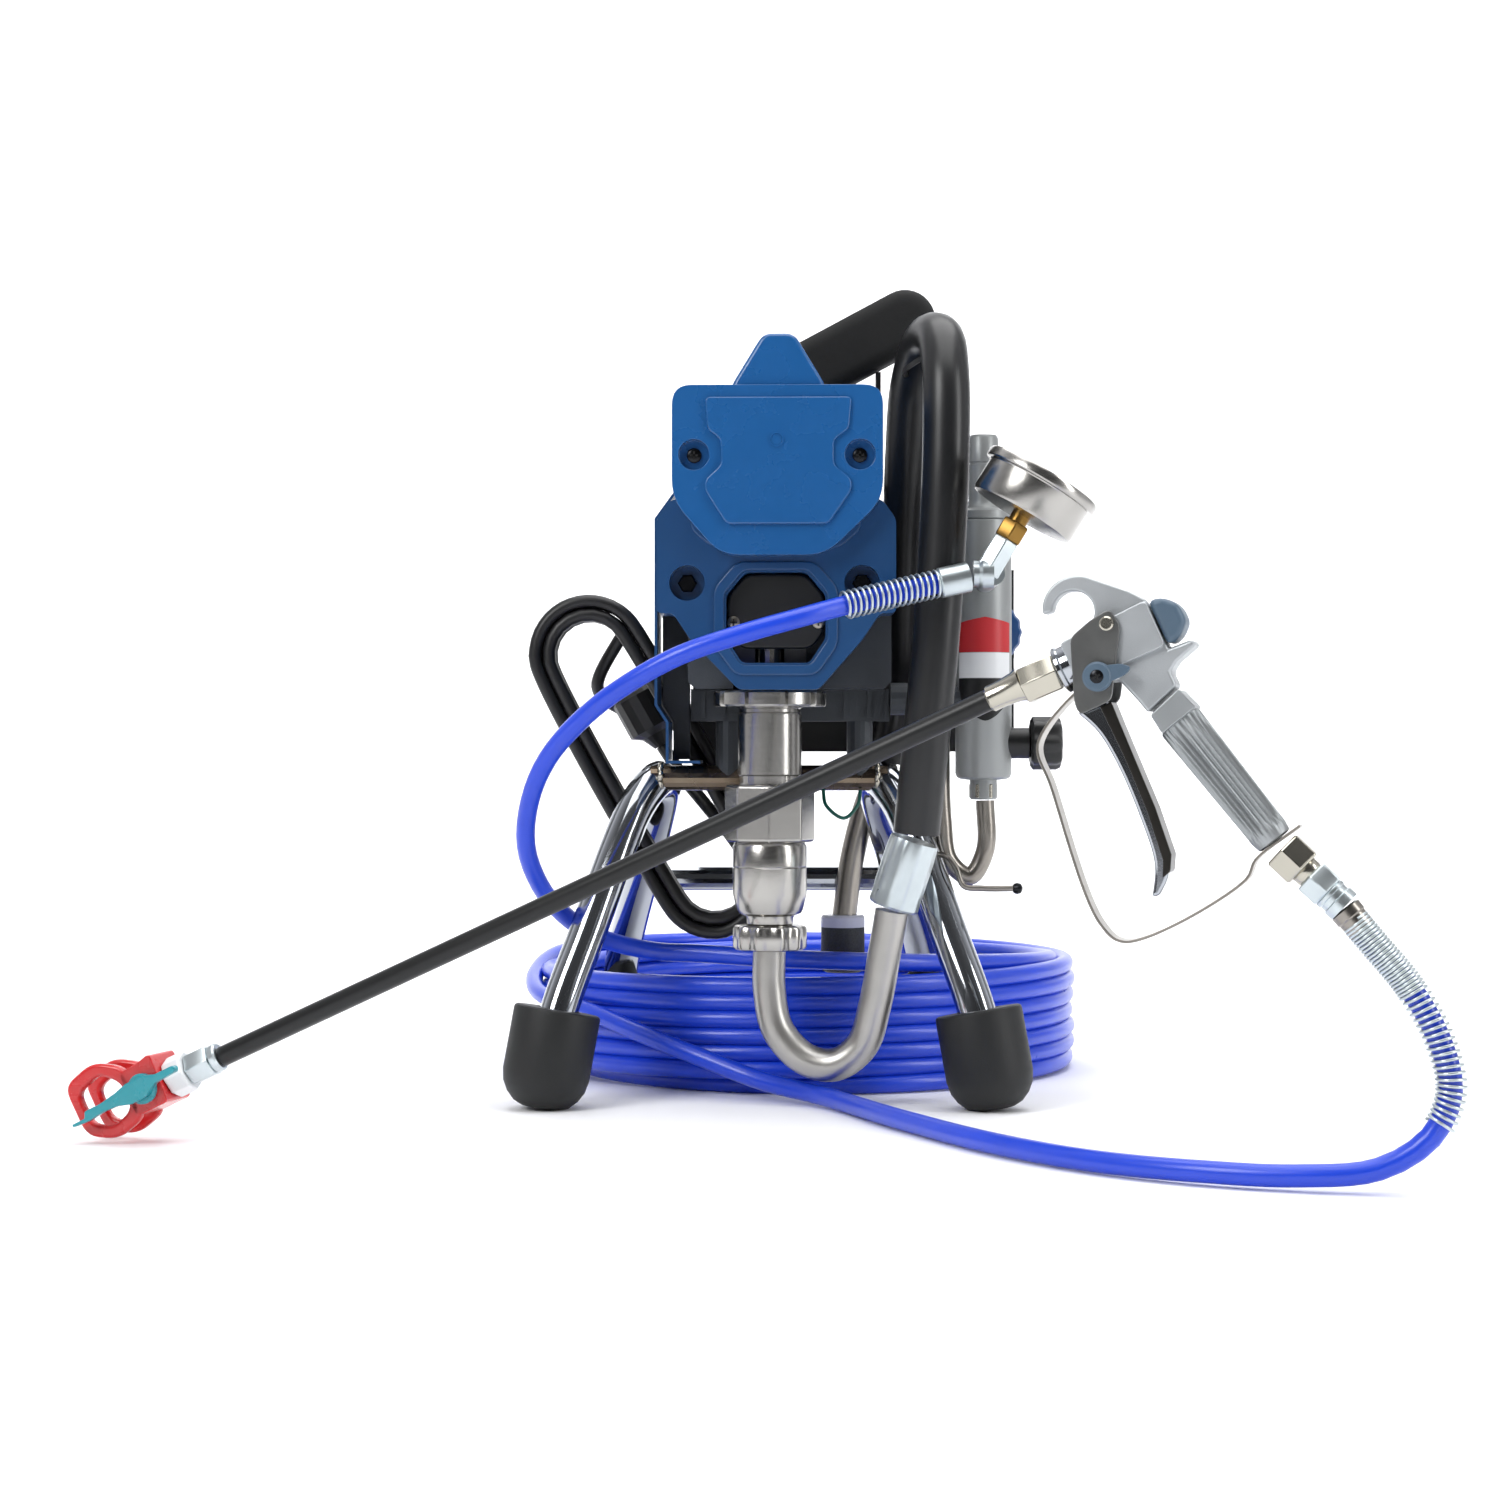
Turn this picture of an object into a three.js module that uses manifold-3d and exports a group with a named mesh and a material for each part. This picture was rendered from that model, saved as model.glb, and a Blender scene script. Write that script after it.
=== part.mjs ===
// Airless paint sprayer: stand-mounted electric pump with pressure hose, gun and lance.
// Millimetres, +Z up, the operator's side faces -Y. The floor is z = 0.
import * as THREE from 'three';
import { mergeVertices } from 'three/addons/utils/BufferGeometryUtils.js';
import Module from 'manifold-3d';

const wasm = await Module();
wasm.setup();

// ---------- driving dimensions ----------
const GAP = 0.3; // clearance between separate pieces
const SHIFT_X = 47; // moves the whole machine so that its footprint is centred on the origin
const SHIFT_Y = 24.3;

const LEG_R = 11; // stand tube
const BOOT_R = 25;
const BAR_R = 7.5; // crossbars
const BAR_Y = 62;
const BAR_Z = 188.5;

const PUMP_X = 1; // pump axis
const PUMP_Y = 20;
const CRANK_Z = 268;
const MOTOR_Z = 300;
const MOTOR_R = 48;

const FILTER_X = 126; // filter axis
const FILTER_Y = 50;
const FILTER_R = 16.5;

const COIL_X = 22; // hose coil on the floor
const COIL_Y = 232;
const COIL_R_OUT = 172;
const COIL_R_IN = 149;
const COIL_H = 77;

const HOSE_R = 5.5; // paint hose
const SUCTION_HOSE_R = 13.5;
const CORD_R = 4; // mains lead

const GUN_AT = [161.6, -265, 253.4]; // where the gun's own frame sits
const GUN_YAW = -14.576; // degrees
const GUN_PITCH = 24.414; // the lance rises towards the gun

// ---------- finishes ----------
const FINISH = {
  chrome: [0xb9bcc0, 0.2, 1],
  rubber: [0x202124, 0.75, 0],
  casting: [0x54585c, 0.55, 0.6],
  blue: [0x2364a5, 0.35, 0.1],
  blueDark: [0x1c4f86, 0.4, 0.1],
  black: [0x1b1c1e, 0.5, 0.1],
  steel: [0xa9adb2, 0.3, 1],
  zinc: [0xc3c7c9, 0.4, 0.9],
  brass: [0xa5813a, 0.3, 1],
  silver: [0xb4b7b9, 0.42, 0.8],
  hose: [0x2d46d7, 0.35, 0],
  hoseBlack: [0x2b2c2f, 0.4, 0],
  red: [0xc3212b, 0.4, 0],
  teal: [0x1f6f7a, 0.4, 0],
  white: [0xe8eaeb, 0.4, 0],
  greyBlue: [0x6f7f95, 0.5, 0.2],
  foam: [0x1d1e20, 0.85, 0],
};

// ---------- shape helpers ----------
const root = new THREE.Group();

function vec(p) {
  return new THREE.Vector3(p[0], p[1], p[2]);
}

function rad(degrees) {
  return (degrees * Math.PI) / 180;
}

// A closed solid out of a three.js geometry: welded, slivers dropped, turned to face outwards.
function solid(geometry) {
  geometry.deleteAttribute('normal');
  geometry.deleteAttribute('uv');
  const welded = mergeVertices(geometry, 1e-3);
  const p = welded.attributes.position.array;
  const index = welded.index.array;
  const kept = [];
  let volume = 0;
  for (let i = 0; i < index.length; i += 3) {
    const [a, b, c] = [index[i], index[i + 1], index[i + 2]];
    if (a === b || b === c || a === c) continue;
    kept.push(a, b, c);
    const u = new THREE.Vector3(p[3 * a], p[3 * a + 1], p[3 * a + 2]);
    const v = new THREE.Vector3(p[3 * b], p[3 * b + 1], p[3 * b + 2]);
    const w = new THREE.Vector3(p[3 * c], p[3 * c + 1], p[3 * c + 2]);
    volume += u.dot(v.cross(w));
  }
  if (volume < 0) {
    kept.reverse();
  }
  const mesh = new wasm.Mesh({
    numProp: 3,
    vertProperties: new Float32Array(p),
    triVerts: new Uint32Array(kept),
  });
  return new wasm.Manifold(mesh);
}

function add(...shapes) {
  return shapes.reduce((whole, next) => whole.add(next));
}

function cut(body, ...tools) {
  return tools.reduce((rest, tool) => rest.subtract(tool), body);
}

function box(x0, x1, y0, y1, z0, z1) {
  const g = new THREE.BoxGeometry(x1 - x0, y1 - y0, z1 - z0);
  g.translate((x0 + x1) / 2, (y0 + y1) / 2, (z0 + z1) / 2);
  return solid(g);
}

// Round bar or cone between two points.
function rod(a, b, r, sides = 16, rEnd = r) {
  const from = vec(a);
  const along = vec(b).sub(from);
  const g = new THREE.CylinderGeometry(rEnd, r, along.length(), sides);
  g.translate(0, along.length() / 2, 0);
  g.applyQuaternion(new THREE.Quaternion().setFromUnitVectors(new THREE.Vector3(0, 1, 0), along.normalize()));
  g.translate(from.x, from.y, from.z);
  return solid(g);
}

// Turned body: profile of [radius, height] pairs along an axis.
function turned(profile, base, axis, sides = 24) {
  const points = [[0, profile[0][1]], ...profile, [0, profile[profile.length - 1][1]]];
  const g = new THREE.LatheGeometry(points.map((q) => new THREE.Vector2(q[0], q[1])), sides);
  const direction = vec(axis).normalize();
  g.applyQuaternion(new THREE.Quaternion().setFromUnitVectors(new THREE.Vector3(0, 1, 0), direction));
  g.translate(base[0], base[1], base[2]);
  return solid(g);
}

// Flat outline pushed along one axis: 'y' takes [x, z] points, 'x' takes [y, z], 'z' takes [x, y].
function prism(points, axis, from, to) {
  const shape = new THREE.Shape(points.map((q) => new THREE.Vector2(q[0], q[1])));
  const g = new THREE.ExtrudeGeometry(shape, { depth: to - from, bevelEnabled: false });
  const basis = new THREE.Matrix4();
  const X = new THREE.Vector3(1, 0, 0);
  const Y = new THREE.Vector3(0, 1, 0);
  const Z = new THREE.Vector3(0, 0, 1);
  if (axis === 'y') {
    basis.makeBasis(X, Z, Y.clone().negate());
    g.applyMatrix4(basis);
    g.translate(0, to, 0);
  }
  if (axis === 'x') {
    basis.makeBasis(Y, Z, X);
    g.applyMatrix4(basis);
    g.translate(from, 0, 0);
  }
  if (axis === 'z') {
    g.translate(0, 0, from);
  }
  return solid(g);
}

// Outline with its corners rounded.
function rounded(points, radius, steps = 3) {
  const out = [];
  const n = points.length;
  for (let i = 0; i < n; i++) {
    const here = new THREE.Vector2(...points[i]);
    const before = new THREE.Vector2(...points[(i + n - 1) % n]).sub(here);
    const after = new THREE.Vector2(...points[(i + 1) % n]).sub(here);
    const reach = Math.min(radius, before.length() * 0.48, after.length() * 0.48);
    const a = here.clone().add(before.setLength(reach));
    const b = here.clone().add(after.setLength(reach));
    for (let k = 0; k <= steps; k++) {
      const t = k / steps;
      const x = (1 - t) ** 2 * a.x + 2 * t * (1 - t) * here.x + t * t * b.x;
      const y = (1 - t) ** 2 * a.y + 2 * t * (1 - t) * here.y + t * t * b.y;
      out.push([x, y]);
    }
  }
  return out;
}

// Sheet strip following a line of points, t thick, as an outline.
function ribbon(points, t) {
  const left = [];
  const right = [];
  for (let i = 0; i < points.length; i++) {
    const here = new THREE.Vector2(...points[i]);
    const before = i > 0 ? new THREE.Vector2(...points[i - 1]) : null;
    const after = i < points.length - 1 ? new THREE.Vector2(...points[i + 1]) : null;
    const into = before ? here.clone().sub(before).normalize() : after.clone().sub(here).normalize();
    const away = after ? after.clone().sub(here).normalize() : into.clone();
    const mid = into.clone().add(away).normalize();
    const side = new THREE.Vector2(-mid.y, mid.x);
    const reach = t / 2 / Math.max(0.4, mid.dot(into));
    left.push([here.x + side.x * reach, here.y + side.y * reach]);
    right.unshift([here.x - side.x * reach, here.y - side.y * reach]);
  }
  return [...left, ...right];
}

function circle(r, sides) {
  const points = [];
  for (let i = 0; i < sides; i++) {
    const a = (2 * Math.PI * i) / sides;
    points.push(new THREE.Vector2(r * Math.cos(a), r * Math.sin(a)));
  }
  return points;
}

// Tube bent along a line of points; rIn > 0 makes it hollow.
function tube(points, r, sides, steps, rIn = 0) {
  const shape = new THREE.Shape(circle(r, sides));
  if (rIn > 0) {
    shape.holes.push(new THREE.Path(circle(rIn, sides)));
  }
  const path = new THREE.CatmullRomCurve3(points.map(vec), false, 'centripetal');
  return solid(new THREE.ExtrudeGeometry(shape, { steps, extrudePath: path, bevelEnabled: false }));
}

function node(name, shape, finish) {
  const mesh = shape.getMesh();
  const g = new THREE.BufferGeometry();
  g.setAttribute('position', new THREE.BufferAttribute(new Float32Array(mesh.vertProperties), 3));
  g.setIndex(new THREE.BufferAttribute(new Uint32Array(mesh.triVerts), 1));
  g.translate(SHIFT_X, SHIFT_Y, 0);
  g.computeVertexNormals();
  const [color, roughness, metalness] = FINISH[finish];
  const part = new THREE.Mesh(g, new THREE.MeshStandardMaterial({ color, roughness, metalness }));
  part.name = name;
  root.add(part);
}

// ---------- stand ----------
const FLOOR_CUT = box(-400, 400, -400, 400, -60, 0);

function legPath(side) {
  return [
    [side * 127, 0.5, 22],
    [side * 119, 5, 57],
    [side * 105.5, 20, 96],
    [side * 78, 55, 172],
    [side * 67, 68, 187],
    [side * 64, 82, 185],
    [side * 72, 118, 153],
    [side * 98, 219, 65],
    [side * 100.5, 227, 22],
  ];
}

function leg(side, extra = 0) {
  return tube(legPath(side), LEG_R + extra, 12, 18);
}

function boot(side, y, lean) {
  const foot = [side * (y > 100 ? 101 : 130), y, 0];
  const up = [-side * lean[0], lean[1], 57];
  const profile = [[11, -2], [18.5, 1.5], [23, 8], [BOOT_R, 18], [BOOT_R, 56], [23.8, 57.5]];
  const r = y > 100 ? 23.5 / BOOT_R : 1;
  const body = turned(profile.map((q) => [q[0] * r, q[1]]), foot, up, 24);
  return cut(body, FLOOR_CUT, leg(side, GAP));
}

// Bucket hook welded to the right leg.
function pailHook() {
  const line = [
    [90, 42, 144], [104, 30, 143], [109, 26, 136], [113, 25, 126.5], [124, 25, 125], [143, 25, 125],
  ];
  const wire = tube(line, 1.75, 8, 14);
  return [wire, rod([141, 25, 125], [147, 25, 125], 3.4, 12)];
}

function stand() {
  for (const [name, side] of [['left', -1], ['right', 1]]) {
    node(`frame_${name}`, side > 0 ? add(leg(side), ...pailHook()) : leg(side), 'chrome');
    node(`foot_front_${name}`, boot(side, 0, [10, 4]), 'rubber');
    node(`foot_rear_${name}`, boot(side, 228, [2, -4]), 'rubber');
  }
  const legs = [leg(-1, GAP), leg(1, GAP)];
  const front = rod([-70, BAR_Y, BAR_Z - 8], [70, BAR_Y, BAR_Z - 8], BAR_R, 16);
  node('crossbar_front', cut(front.translate([0, 0, 8]), ...legs), 'chrome');
  const rear = rod([-80, 150, 125], [80, 150, 125], BAR_R, 16);
  node('crossbar_rear', cut(rear, ...legs), 'chrome');
}

// ---------- gearbox and housings ----------
function gearboxHousing() {
  const upper = prism(rounded([[-46, 240.3], [71, 240.3], [71, 335], [-46, 335]], 4, 1), 'y', 14.3, 70);
  const skirt = box(-46, 71, 53.8, 70, 222, 241);
  const ribs = [-40, -28, 44, 58, 68].map((x) => box(x, x + 2.5, 51.5, 54, 224, 240.6));
  const posts = [-24, 53.6].map((x) => rod([x, BAR_Y, 190], [x, BAR_Y, 223], 7.7, 16));
  const bar = rod([-90, BAR_Y, BAR_Z], [90, BAR_Y, BAR_Z], BAR_R + GAP, 16);
  const rodRoom = box(-20, 22, 10, 42, 235, 306);
  const gearRoom = rod([PUMP_X, 40, CRANK_Z], [PUMP_X, 58, CRANK_Z], 26.5, 28);
  const crankHole = rod([PUMP_X, 57, CRANK_Z], [PUMP_X, 80, CRANK_Z], 8.4, 16);
  const pinionHole = rod([PUMP_X, 41, MOTOR_Z], [PUMP_X, 80, MOTOR_Z], 8, 16);
  const body = add(upper, skirt, ...ribs, ...posts);
  node('gearbox_housing', cut(body, bar, leg(1, GAP), rodRoom, gearRoom, crankHole, pinionHole), 'casting');
}

const HOUSING = [
  [-54, 346], [-62, 335], [-62, 282], [-53, 282], [-43, 267], [-16, 239],
  [29, 239], [53.6, 267], [63.6, 282], [72.6, 282], [72.6, 335], [64.6, 346],
];

function frontHousing() {
  const body = prism(rounded(HOUSING, 3, 1), 'y', -22, 14);
  const window = [[-23, 268], [-14, 254], [24, 254], [33, 268], [33, 292], [22, 305], [-12, 305], [-23, 292]];
  const opening = prism(window, 'y', -40, 40);
  const recesses = [-45, 53.5].map((x) => rod([x, -30, 299], [x, -10, 299], 10, 16));
  const rodHole = rod([PUMP_X, PUMP_Y, 230], [PUMP_X, PUMP_Y, 260], 10, 20);
  node('front_housing', cut(body, opening, rodHole, ...recesses), 'blueDark');
  const plate = [[-22.6, 272], [-15, 262], [25, 262], [32.6, 272], [32.6, 292], [22, 304.6], [-12, 304.6], [-22.6, 292]];
  const cover = prism(plate, 'y', -14, -8);
  const ears = [-19, 29].map((x) => rod([x, -15.5, 277], [x, -13, 277], 3.4, 12));
  node('rod_cover', add(cover, ...ears), 'black');
}

const COVER = [
  [-53, 409], [-19, 410], [-5.5, 438.5], [18.6, 438.5], [32.6, 410], [65, 409],
  [65, 345], [33, 314], [-26, 314], [-53, 345],
];

function frontCover() {
  const face = prism(rounded(COVER.filter((q) => q[1] < 430), 20, 4), 'y', -35, -22.3);
  const tabLine = [[-19, 400], [-19, 410], [-1.5, 438.5], [15, 438.5], [32.6, 410], [32.6, 400]];
  const tab = prism(rounded(tabLine, 4, 2), 'y', -32, -14);
  const deep = prism(rounded([[-51, 346.4], [63, 346.4], [63, 407], [-51, 407]], 10, 2), 'y', -24, 14);
  const panel = prism(rounded([[-34.5, 404], [47.5, 404], [47.5, 352], [34.5, 331], [-22.5, 331], [-34.5, 352]], 6, 2), 'y', -36.6, -34);
  const pockets = [-40.7, 52.2].map((x) => rod([x, -50, 370], [x, -27, 370], 8.5, 16));
  node('front_cover', cut(add(face, tab, deep, panel), ...pockets), 'blue');
}

// ---------- drive ----------
function drive() {
  const disc = rod([PUMP_X, 46, CRANK_Z], [PUMP_X, 56, CRANK_Z], 24.6, 28);
  const pin = rod([PUMP_X, 34, CRANK_Z + 10], [PUMP_X, 47, CRANK_Z + 10], 5, 12);
  const stub = rod([PUMP_X, 55, CRANK_Z], [PUMP_X, 68, CRANK_Z], 8, 16);
  node('crank_gear', add(disc, pin, stub), 'steel');

  const pinion = rod([PUMP_X, 46, MOTOR_Z], [PUMP_X, 58, MOTOR_Z], 6.6, 14);
  const shaft = rod([PUMP_X, 57, MOTOR_Z], [PUMP_X, 82, MOTOR_Z], 5, 14);
  const core = rod([PUMP_X, 80, MOTOR_Z], [PUMP_X, 160, MOTOR_Z], 30, 20);
  node('motor_rotor', add(pinion, shaft, core), 'steel');

  const can = rod([PUMP_X, 70.3, MOTOR_Z], [PUMP_X, 186, MOTOR_Z], MOTOR_R, 32);
  const bore = rod([PUMP_X, 75, MOTOR_Z], [PUMP_X, 180, MOTOR_Z], 42, 28);
  const shaftHole = rod([PUMP_X, 60, MOTOR_Z], [PUMP_X, 80, MOTOR_Z], 5.6, 14);
  node('motor_housing', cut(can, bore, shaftHole), 'casting');
}

function motorShroud() {
  const wall = [
    [-39, 198], [-58, 198], [-58, 221], [-64.5, 231], [-64.5, 338], [-50, 358], [48, 358], [62, 340], [62, 285],
  ];
  const sheet = prism(ribbon(wall, 1.6), 'y', 14.6, 184);
  const room = box(-100, -30, 62, 200, 190, 285);
  const gearSide = box(40, 80, 0, 70.6, 200, 336);
  node('motor_shroud', cut(sheet, room, gearSide), 'blueDark');
}

function controlBox() {
  const tray = box(-48, 150, 134, 186, 204, 246);
  const tower = box(64.2, 150, 134, 186, 240, 316);
  const gland = rod([-47, 160, 226], [-57, 160, 226], 8, 12);
  const switchWell = box(142, 160, 152, 172, 261.4, 290.6);
  node('control_box', cut(add(tray, tower, gland), switchWell), 'black');
  node('power_switch', prism([[152.4, 262.4], [171.6, 262.4], [171.6, 289.6], [152.4, 289.6]], 'x', 146.4, 151.5), 'black');
  const knob = turned([[19, 0], [19, 13], [17, 16]], [135, 133.7, 277], [0, -1, 0], 24);
  node('pressure_knob', knob, 'blueDark');
}

// ---------- carrying handle ----------
function handle() {
  const a = [8, 423];
  const b = [81, 462];
  const tilt = Math.atan2(b[1] - a[1], b[0] - a[0]);
  const outline = [];
  for (let i = 0; i <= 8; i++) {
    const t = tilt + Math.PI / 2 + (Math.PI * i) / 8;
    outline.push([a[0] + 18.5 * Math.cos(t), a[1] + 18.5 * Math.sin(t)]);
  }
  for (let i = 0; i <= 8; i++) {
    const t = tilt - Math.PI / 2 + (Math.PI * i) / 8;
    outline.push([b[0] + 18.5 * Math.cos(t), b[1] + 18.5 * Math.sin(t)]);
  }
  node('handle_grip', prism(outline, 'y', 72, 102), 'foam');
  const strip = prism(ribbon([[20, 406.8], [20, 361], [65.1, 361], [65.1, 431]], 3), 'y', 79, 99);
  node('handle_bracket', strip, 'black');
}

// ---------- fluid section ----------
function pump() {
  const base = [PUMP_X, PUMP_Y, 0];
  const up = [0, 0, 1];
  const nut = turned([[32.5, 230], [32.5, 238.7]], base, up, 32);
  const notches = [];
  for (let i = 0; i < 10; i++) {
    const a = (2 * Math.PI * i) / 10 + 0.3;
    const at = [PUMP_X + 33.5 * Math.cos(a), PUMP_Y + 33.5 * Math.sin(a)];
    notches.push(rod([at[0], at[1], 225], [at[0], at[1], 245], 3.6, 8));
  }
  const nutHole = rod([PUMP_X, PUMP_Y, 220], [PUMP_X, PUMP_Y, 250], 18.5 + GAP, 32);
  node('jam_nut', cut(nut, nutHole, ...notches), 'steel');

  const barrel = turned([[18.5, 190.6], [18.5, 226], [17.6, 227], [17.6, 229], [18.5, 229.5], [18.5, 239]], base, up, 24);
  const collar = turned([[17.5, 185.4], [17.5, 191]], base, up, 24);
  const bore = rod([PUMP_X, PUMP_Y, 193], [PUMP_X, PUMP_Y, 250], 9, 16);
  node('pump_cylinder', cut(add(barrel, collar), bore), 'steel');

  const block = turned([[22, 152], [26, 155.5], [26, 181.5], [22, 185]], base, up, 8);
  node('pump_body', block, 'steel');

  const valve = turned([[14, 104.4], [14, 110], [18, 112], [21.4, 122], [21.4, 149.5], [20, 151.7]], base, up, 28);
  node('foot_valve', valve, 'steel');

  const swivel = turned([[19.5, 89.6], [21.4, 91.5], [21.4, 102], [19.5, 104.1]], base, up, 12);
  node('swivel_nut', swivel, 'steel');

  const stem = rod([PUMP_X, PUMP_Y, 205], [PUMP_X, PUMP_Y, 268], 8.5, 20);
  const head = prism(rounded([[-12, 266], [14, 266], [14, 282], [8, 290], [-6, 290], [-12, 282]], 2, 1), 'y', 4, 30);
  node('pump_rod', add(stem, head), 'steel');
}

const PICKUP = [[71.4, 119.5, 197], [62, 127, 180], [51, 131, 142], [44.5, 131, 96]];

function suction() {
  const pipe = [
    [0.8, 20, 89.2], [0.8, 19.6, 66.5], [5.8, 18, 43.6], [21.4, 14, 27.4], [38.6, 10, 24.6],
    [54, 7, 36.2], [61.3, 4, 59.4], [67, 2, 90.9], [70.8, 0.2, 113.4],
  ];
  node('suction_tube', tube(pipe, 9.5, 10, 22), 'steel');
  const sleeve = rod([71.4, 0, 115.6], [83.7, -3.8, 153.8], 14.5, 12);
  node('suction_coupling', sleeve, 'zinc');
  const hose = [
    [84.8, -4.3, 158.2], [89.3, -10, 205], [94.7, -14, 261], [98.6, -16, 318], [100.8, -16, 374],
    [101, -10, 417], [99, 8, 440], [92, 36, 443], [85, 60, 420], [82.5, 72, 383], [81.4, 84, 342],
    [80.6, 96, 295], [79.5, 109, 235], [72.6, 117.5, 200],
  ];
  node('suction_hose', tube(hose, SUCTION_HOSE_R, 10, 24), 'hoseBlack');
  const pick = tube(PICKUP, 7.5, 10, 10);
  node('strainer_tube', pick, 'steel');
  const cup = turned([[10.5, 104], [13.5, 100], [13.5, 70], [12, 68]], [PICKUP[3][0], PICKUP[3][1], 0], [0, 0, 1], 20);
  const socket = rod([PICKUP[3][0], PICKUP[3][1], 93], [PICKUP[3][0], PICKUP[3][1], 110], 9.2, 12);
  node('strainer', cut(cup, socket), 'casting');
}

function filter() {
  const base = [FILTER_X, FILTER_Y, 0];
  const up = [0, 0, 1];
  const flat = box(FILTER_X - 40, FILTER_X - FILTER_R - GAP, FILTER_Y - 20, FILTER_Y + 20, 222, 248);
  const body = turned([[8, 176], [8, 188], [14, 188], [FILTER_R, 191], [FILTER_R, 339.4]], base, up, 28);
  const valve = rod([FILTER_X + 14, FILTER_Y, 209], [FILTER_X + 27, FILTER_Y, 209], 9, 16);
  node('filter_housing', cut(add(body, valve), flat), 'silver');
  const cap = turned([[15.6, 339.8], [16, 341], [16, 345], [11, 347], [8.8, 349], [8.8, 388], [7.5, 390]], base, up, 24);
  node('filter_cap', cap, 'silver');
  const arm = rod([71.3, FILTER_Y, 235], [FILTER_X - FILTER_R + 5, FILTER_Y, 235], 9.5, 16);
  const armEnd = rod([FILTER_X, FILTER_Y, 210], [FILTER_X, FILTER_Y, 260], FILTER_R + GAP, 28);
  node('filter_arm', cut(arm, armEnd), 'casting');
  const knob = turned([[15.6, 0], [15.6, 16], [13.5, 18.5]], [FILTER_X + 27.3, FILTER_Y, 209], [1, 0, 0], 24);
  node('prime_knob', knob, 'black');
  const drain = [
    [127, 50, 175.4], [127, 50, 146], [118, 50, 131], [106, 50, 140], [102, 50, 165], [100.6, 50, 224.6],
  ];
  node('pressure_tube', tube(drain, HOSE_R, 10, 18), 'steel');
}

const GAUGE_AT = [129.2, -38, 315];
const GAUGE_Z = 303; // the tee's level
const GAUGE_BACK = 23.5; // from the stem's root to the case
const GAUGE_DIR = [0.515, 0, 0.857];

function along(at, direction, d) {
  return [at[0] + direction[0] * d, at[1] + direction[1] * d, at[2] + direction[2] * d];
}

function gauge() {
  const low = along(GAUGE_AT, GAUGE_DIR, -14);
  const top = along(GAUGE_AT, GAUGE_DIR, 14);
  const stem = rod(low, top, 7.5, 6);
  const mid = rod(along(GAUGE_AT, GAUGE_DIR, 11), along(GAUGE_AT, GAUGE_DIR, GAUGE_BACK - GAP), 8.5, 6);
  const nipple = rod([FILTER_X, -38, GAUGE_Z], [FILTER_X, FILTER_Y - FILTER_R - GAP, GAUGE_Z], 6.5, 16);
  const side = rod([126, -38, GAUGE_Z], [114.8, -38, GAUGE_Z], 6.5, 16);
  node('gauge_tee', add(stem, mid, nipple, side), 'brass');

  const back = along(GAUGE_AT, GAUGE_DIR, GAUGE_BACK);
  const shell = turned([[29, 0], [31, 2], [31, 19], [34, 19.5], [34, 24], [32, 25.5]], back, GAUGE_DIR, 24);
  const dial = rod(along(back, GAUGE_DIR, 20), along(back, GAUGE_DIR, 30), 29, 24);
  node('gauge_case', cut(shell, dial), 'steel');
  const hub = along(back, GAUGE_DIR, 20.3);
  const hubTop = along(back, GAUGE_DIR, 22.3);
  const boss = rod(hub, hubTop, 3.2, 12);
  const needle = prism([[-1, -5], [1, -5], [0.6, 21], [-0.6, 21]], 'z', 0, 1);
  const tilt = Math.atan2(GAUGE_DIR[0], GAUGE_DIR[2]);
  const turn = new THREE.Matrix4().makeRotationY(tilt);
  const place = new THREE.Matrix4().makeTranslation(...along(hub, GAUGE_DIR, 0.5));
  const spin = new THREE.Matrix4().makeRotationZ(rad(135));
  place.multiply(turn);
  place.multiply(spin);
  node('gauge_needle', add(boss, needle.transform(place.elements)), 'black');
}

// ---------- hoses and mains lead ----------
const HOSE_A = [
  [112.3, -38.4, 301.2], [97, -41, 297.7], [46.1, -60, 285], [18.8, -74, 277], [-13.6, -80, 267.6],
  [-46.2, -78, 256.5], [-74, -70, 242], [-99.8, -55, 223.7], [-122, -36, 200.5], [-133.6, -20, 176.8],
  [-137.4, -5, 150.9], [-131.4, 15, 127.2], [-117.8, 45, 106.4], [-98, 72, 92], [-70, 84, 84.4], [-40, 80, 83],
];
const HOSE_B = [
  [-139, 150, 50], [-123, 124, 48], [-104, 102, 44], [-79, 80, 36], [-42, 58, 24], [-5, 40, 12],
  [30, 10, 7], [72.6, -87, 6.2], [119.8, -183, 6.2], [164, -241, 6.2], [208, -275, 6.8], [250, -293, 7.6],
  [286, -301, 12], [309, -304, 27], [318, -305.6, 48], [313, -304.5, 72], [300, -301, 96], [284, -297, 116],
  [273.6, -294.2, 129],
];

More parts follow.
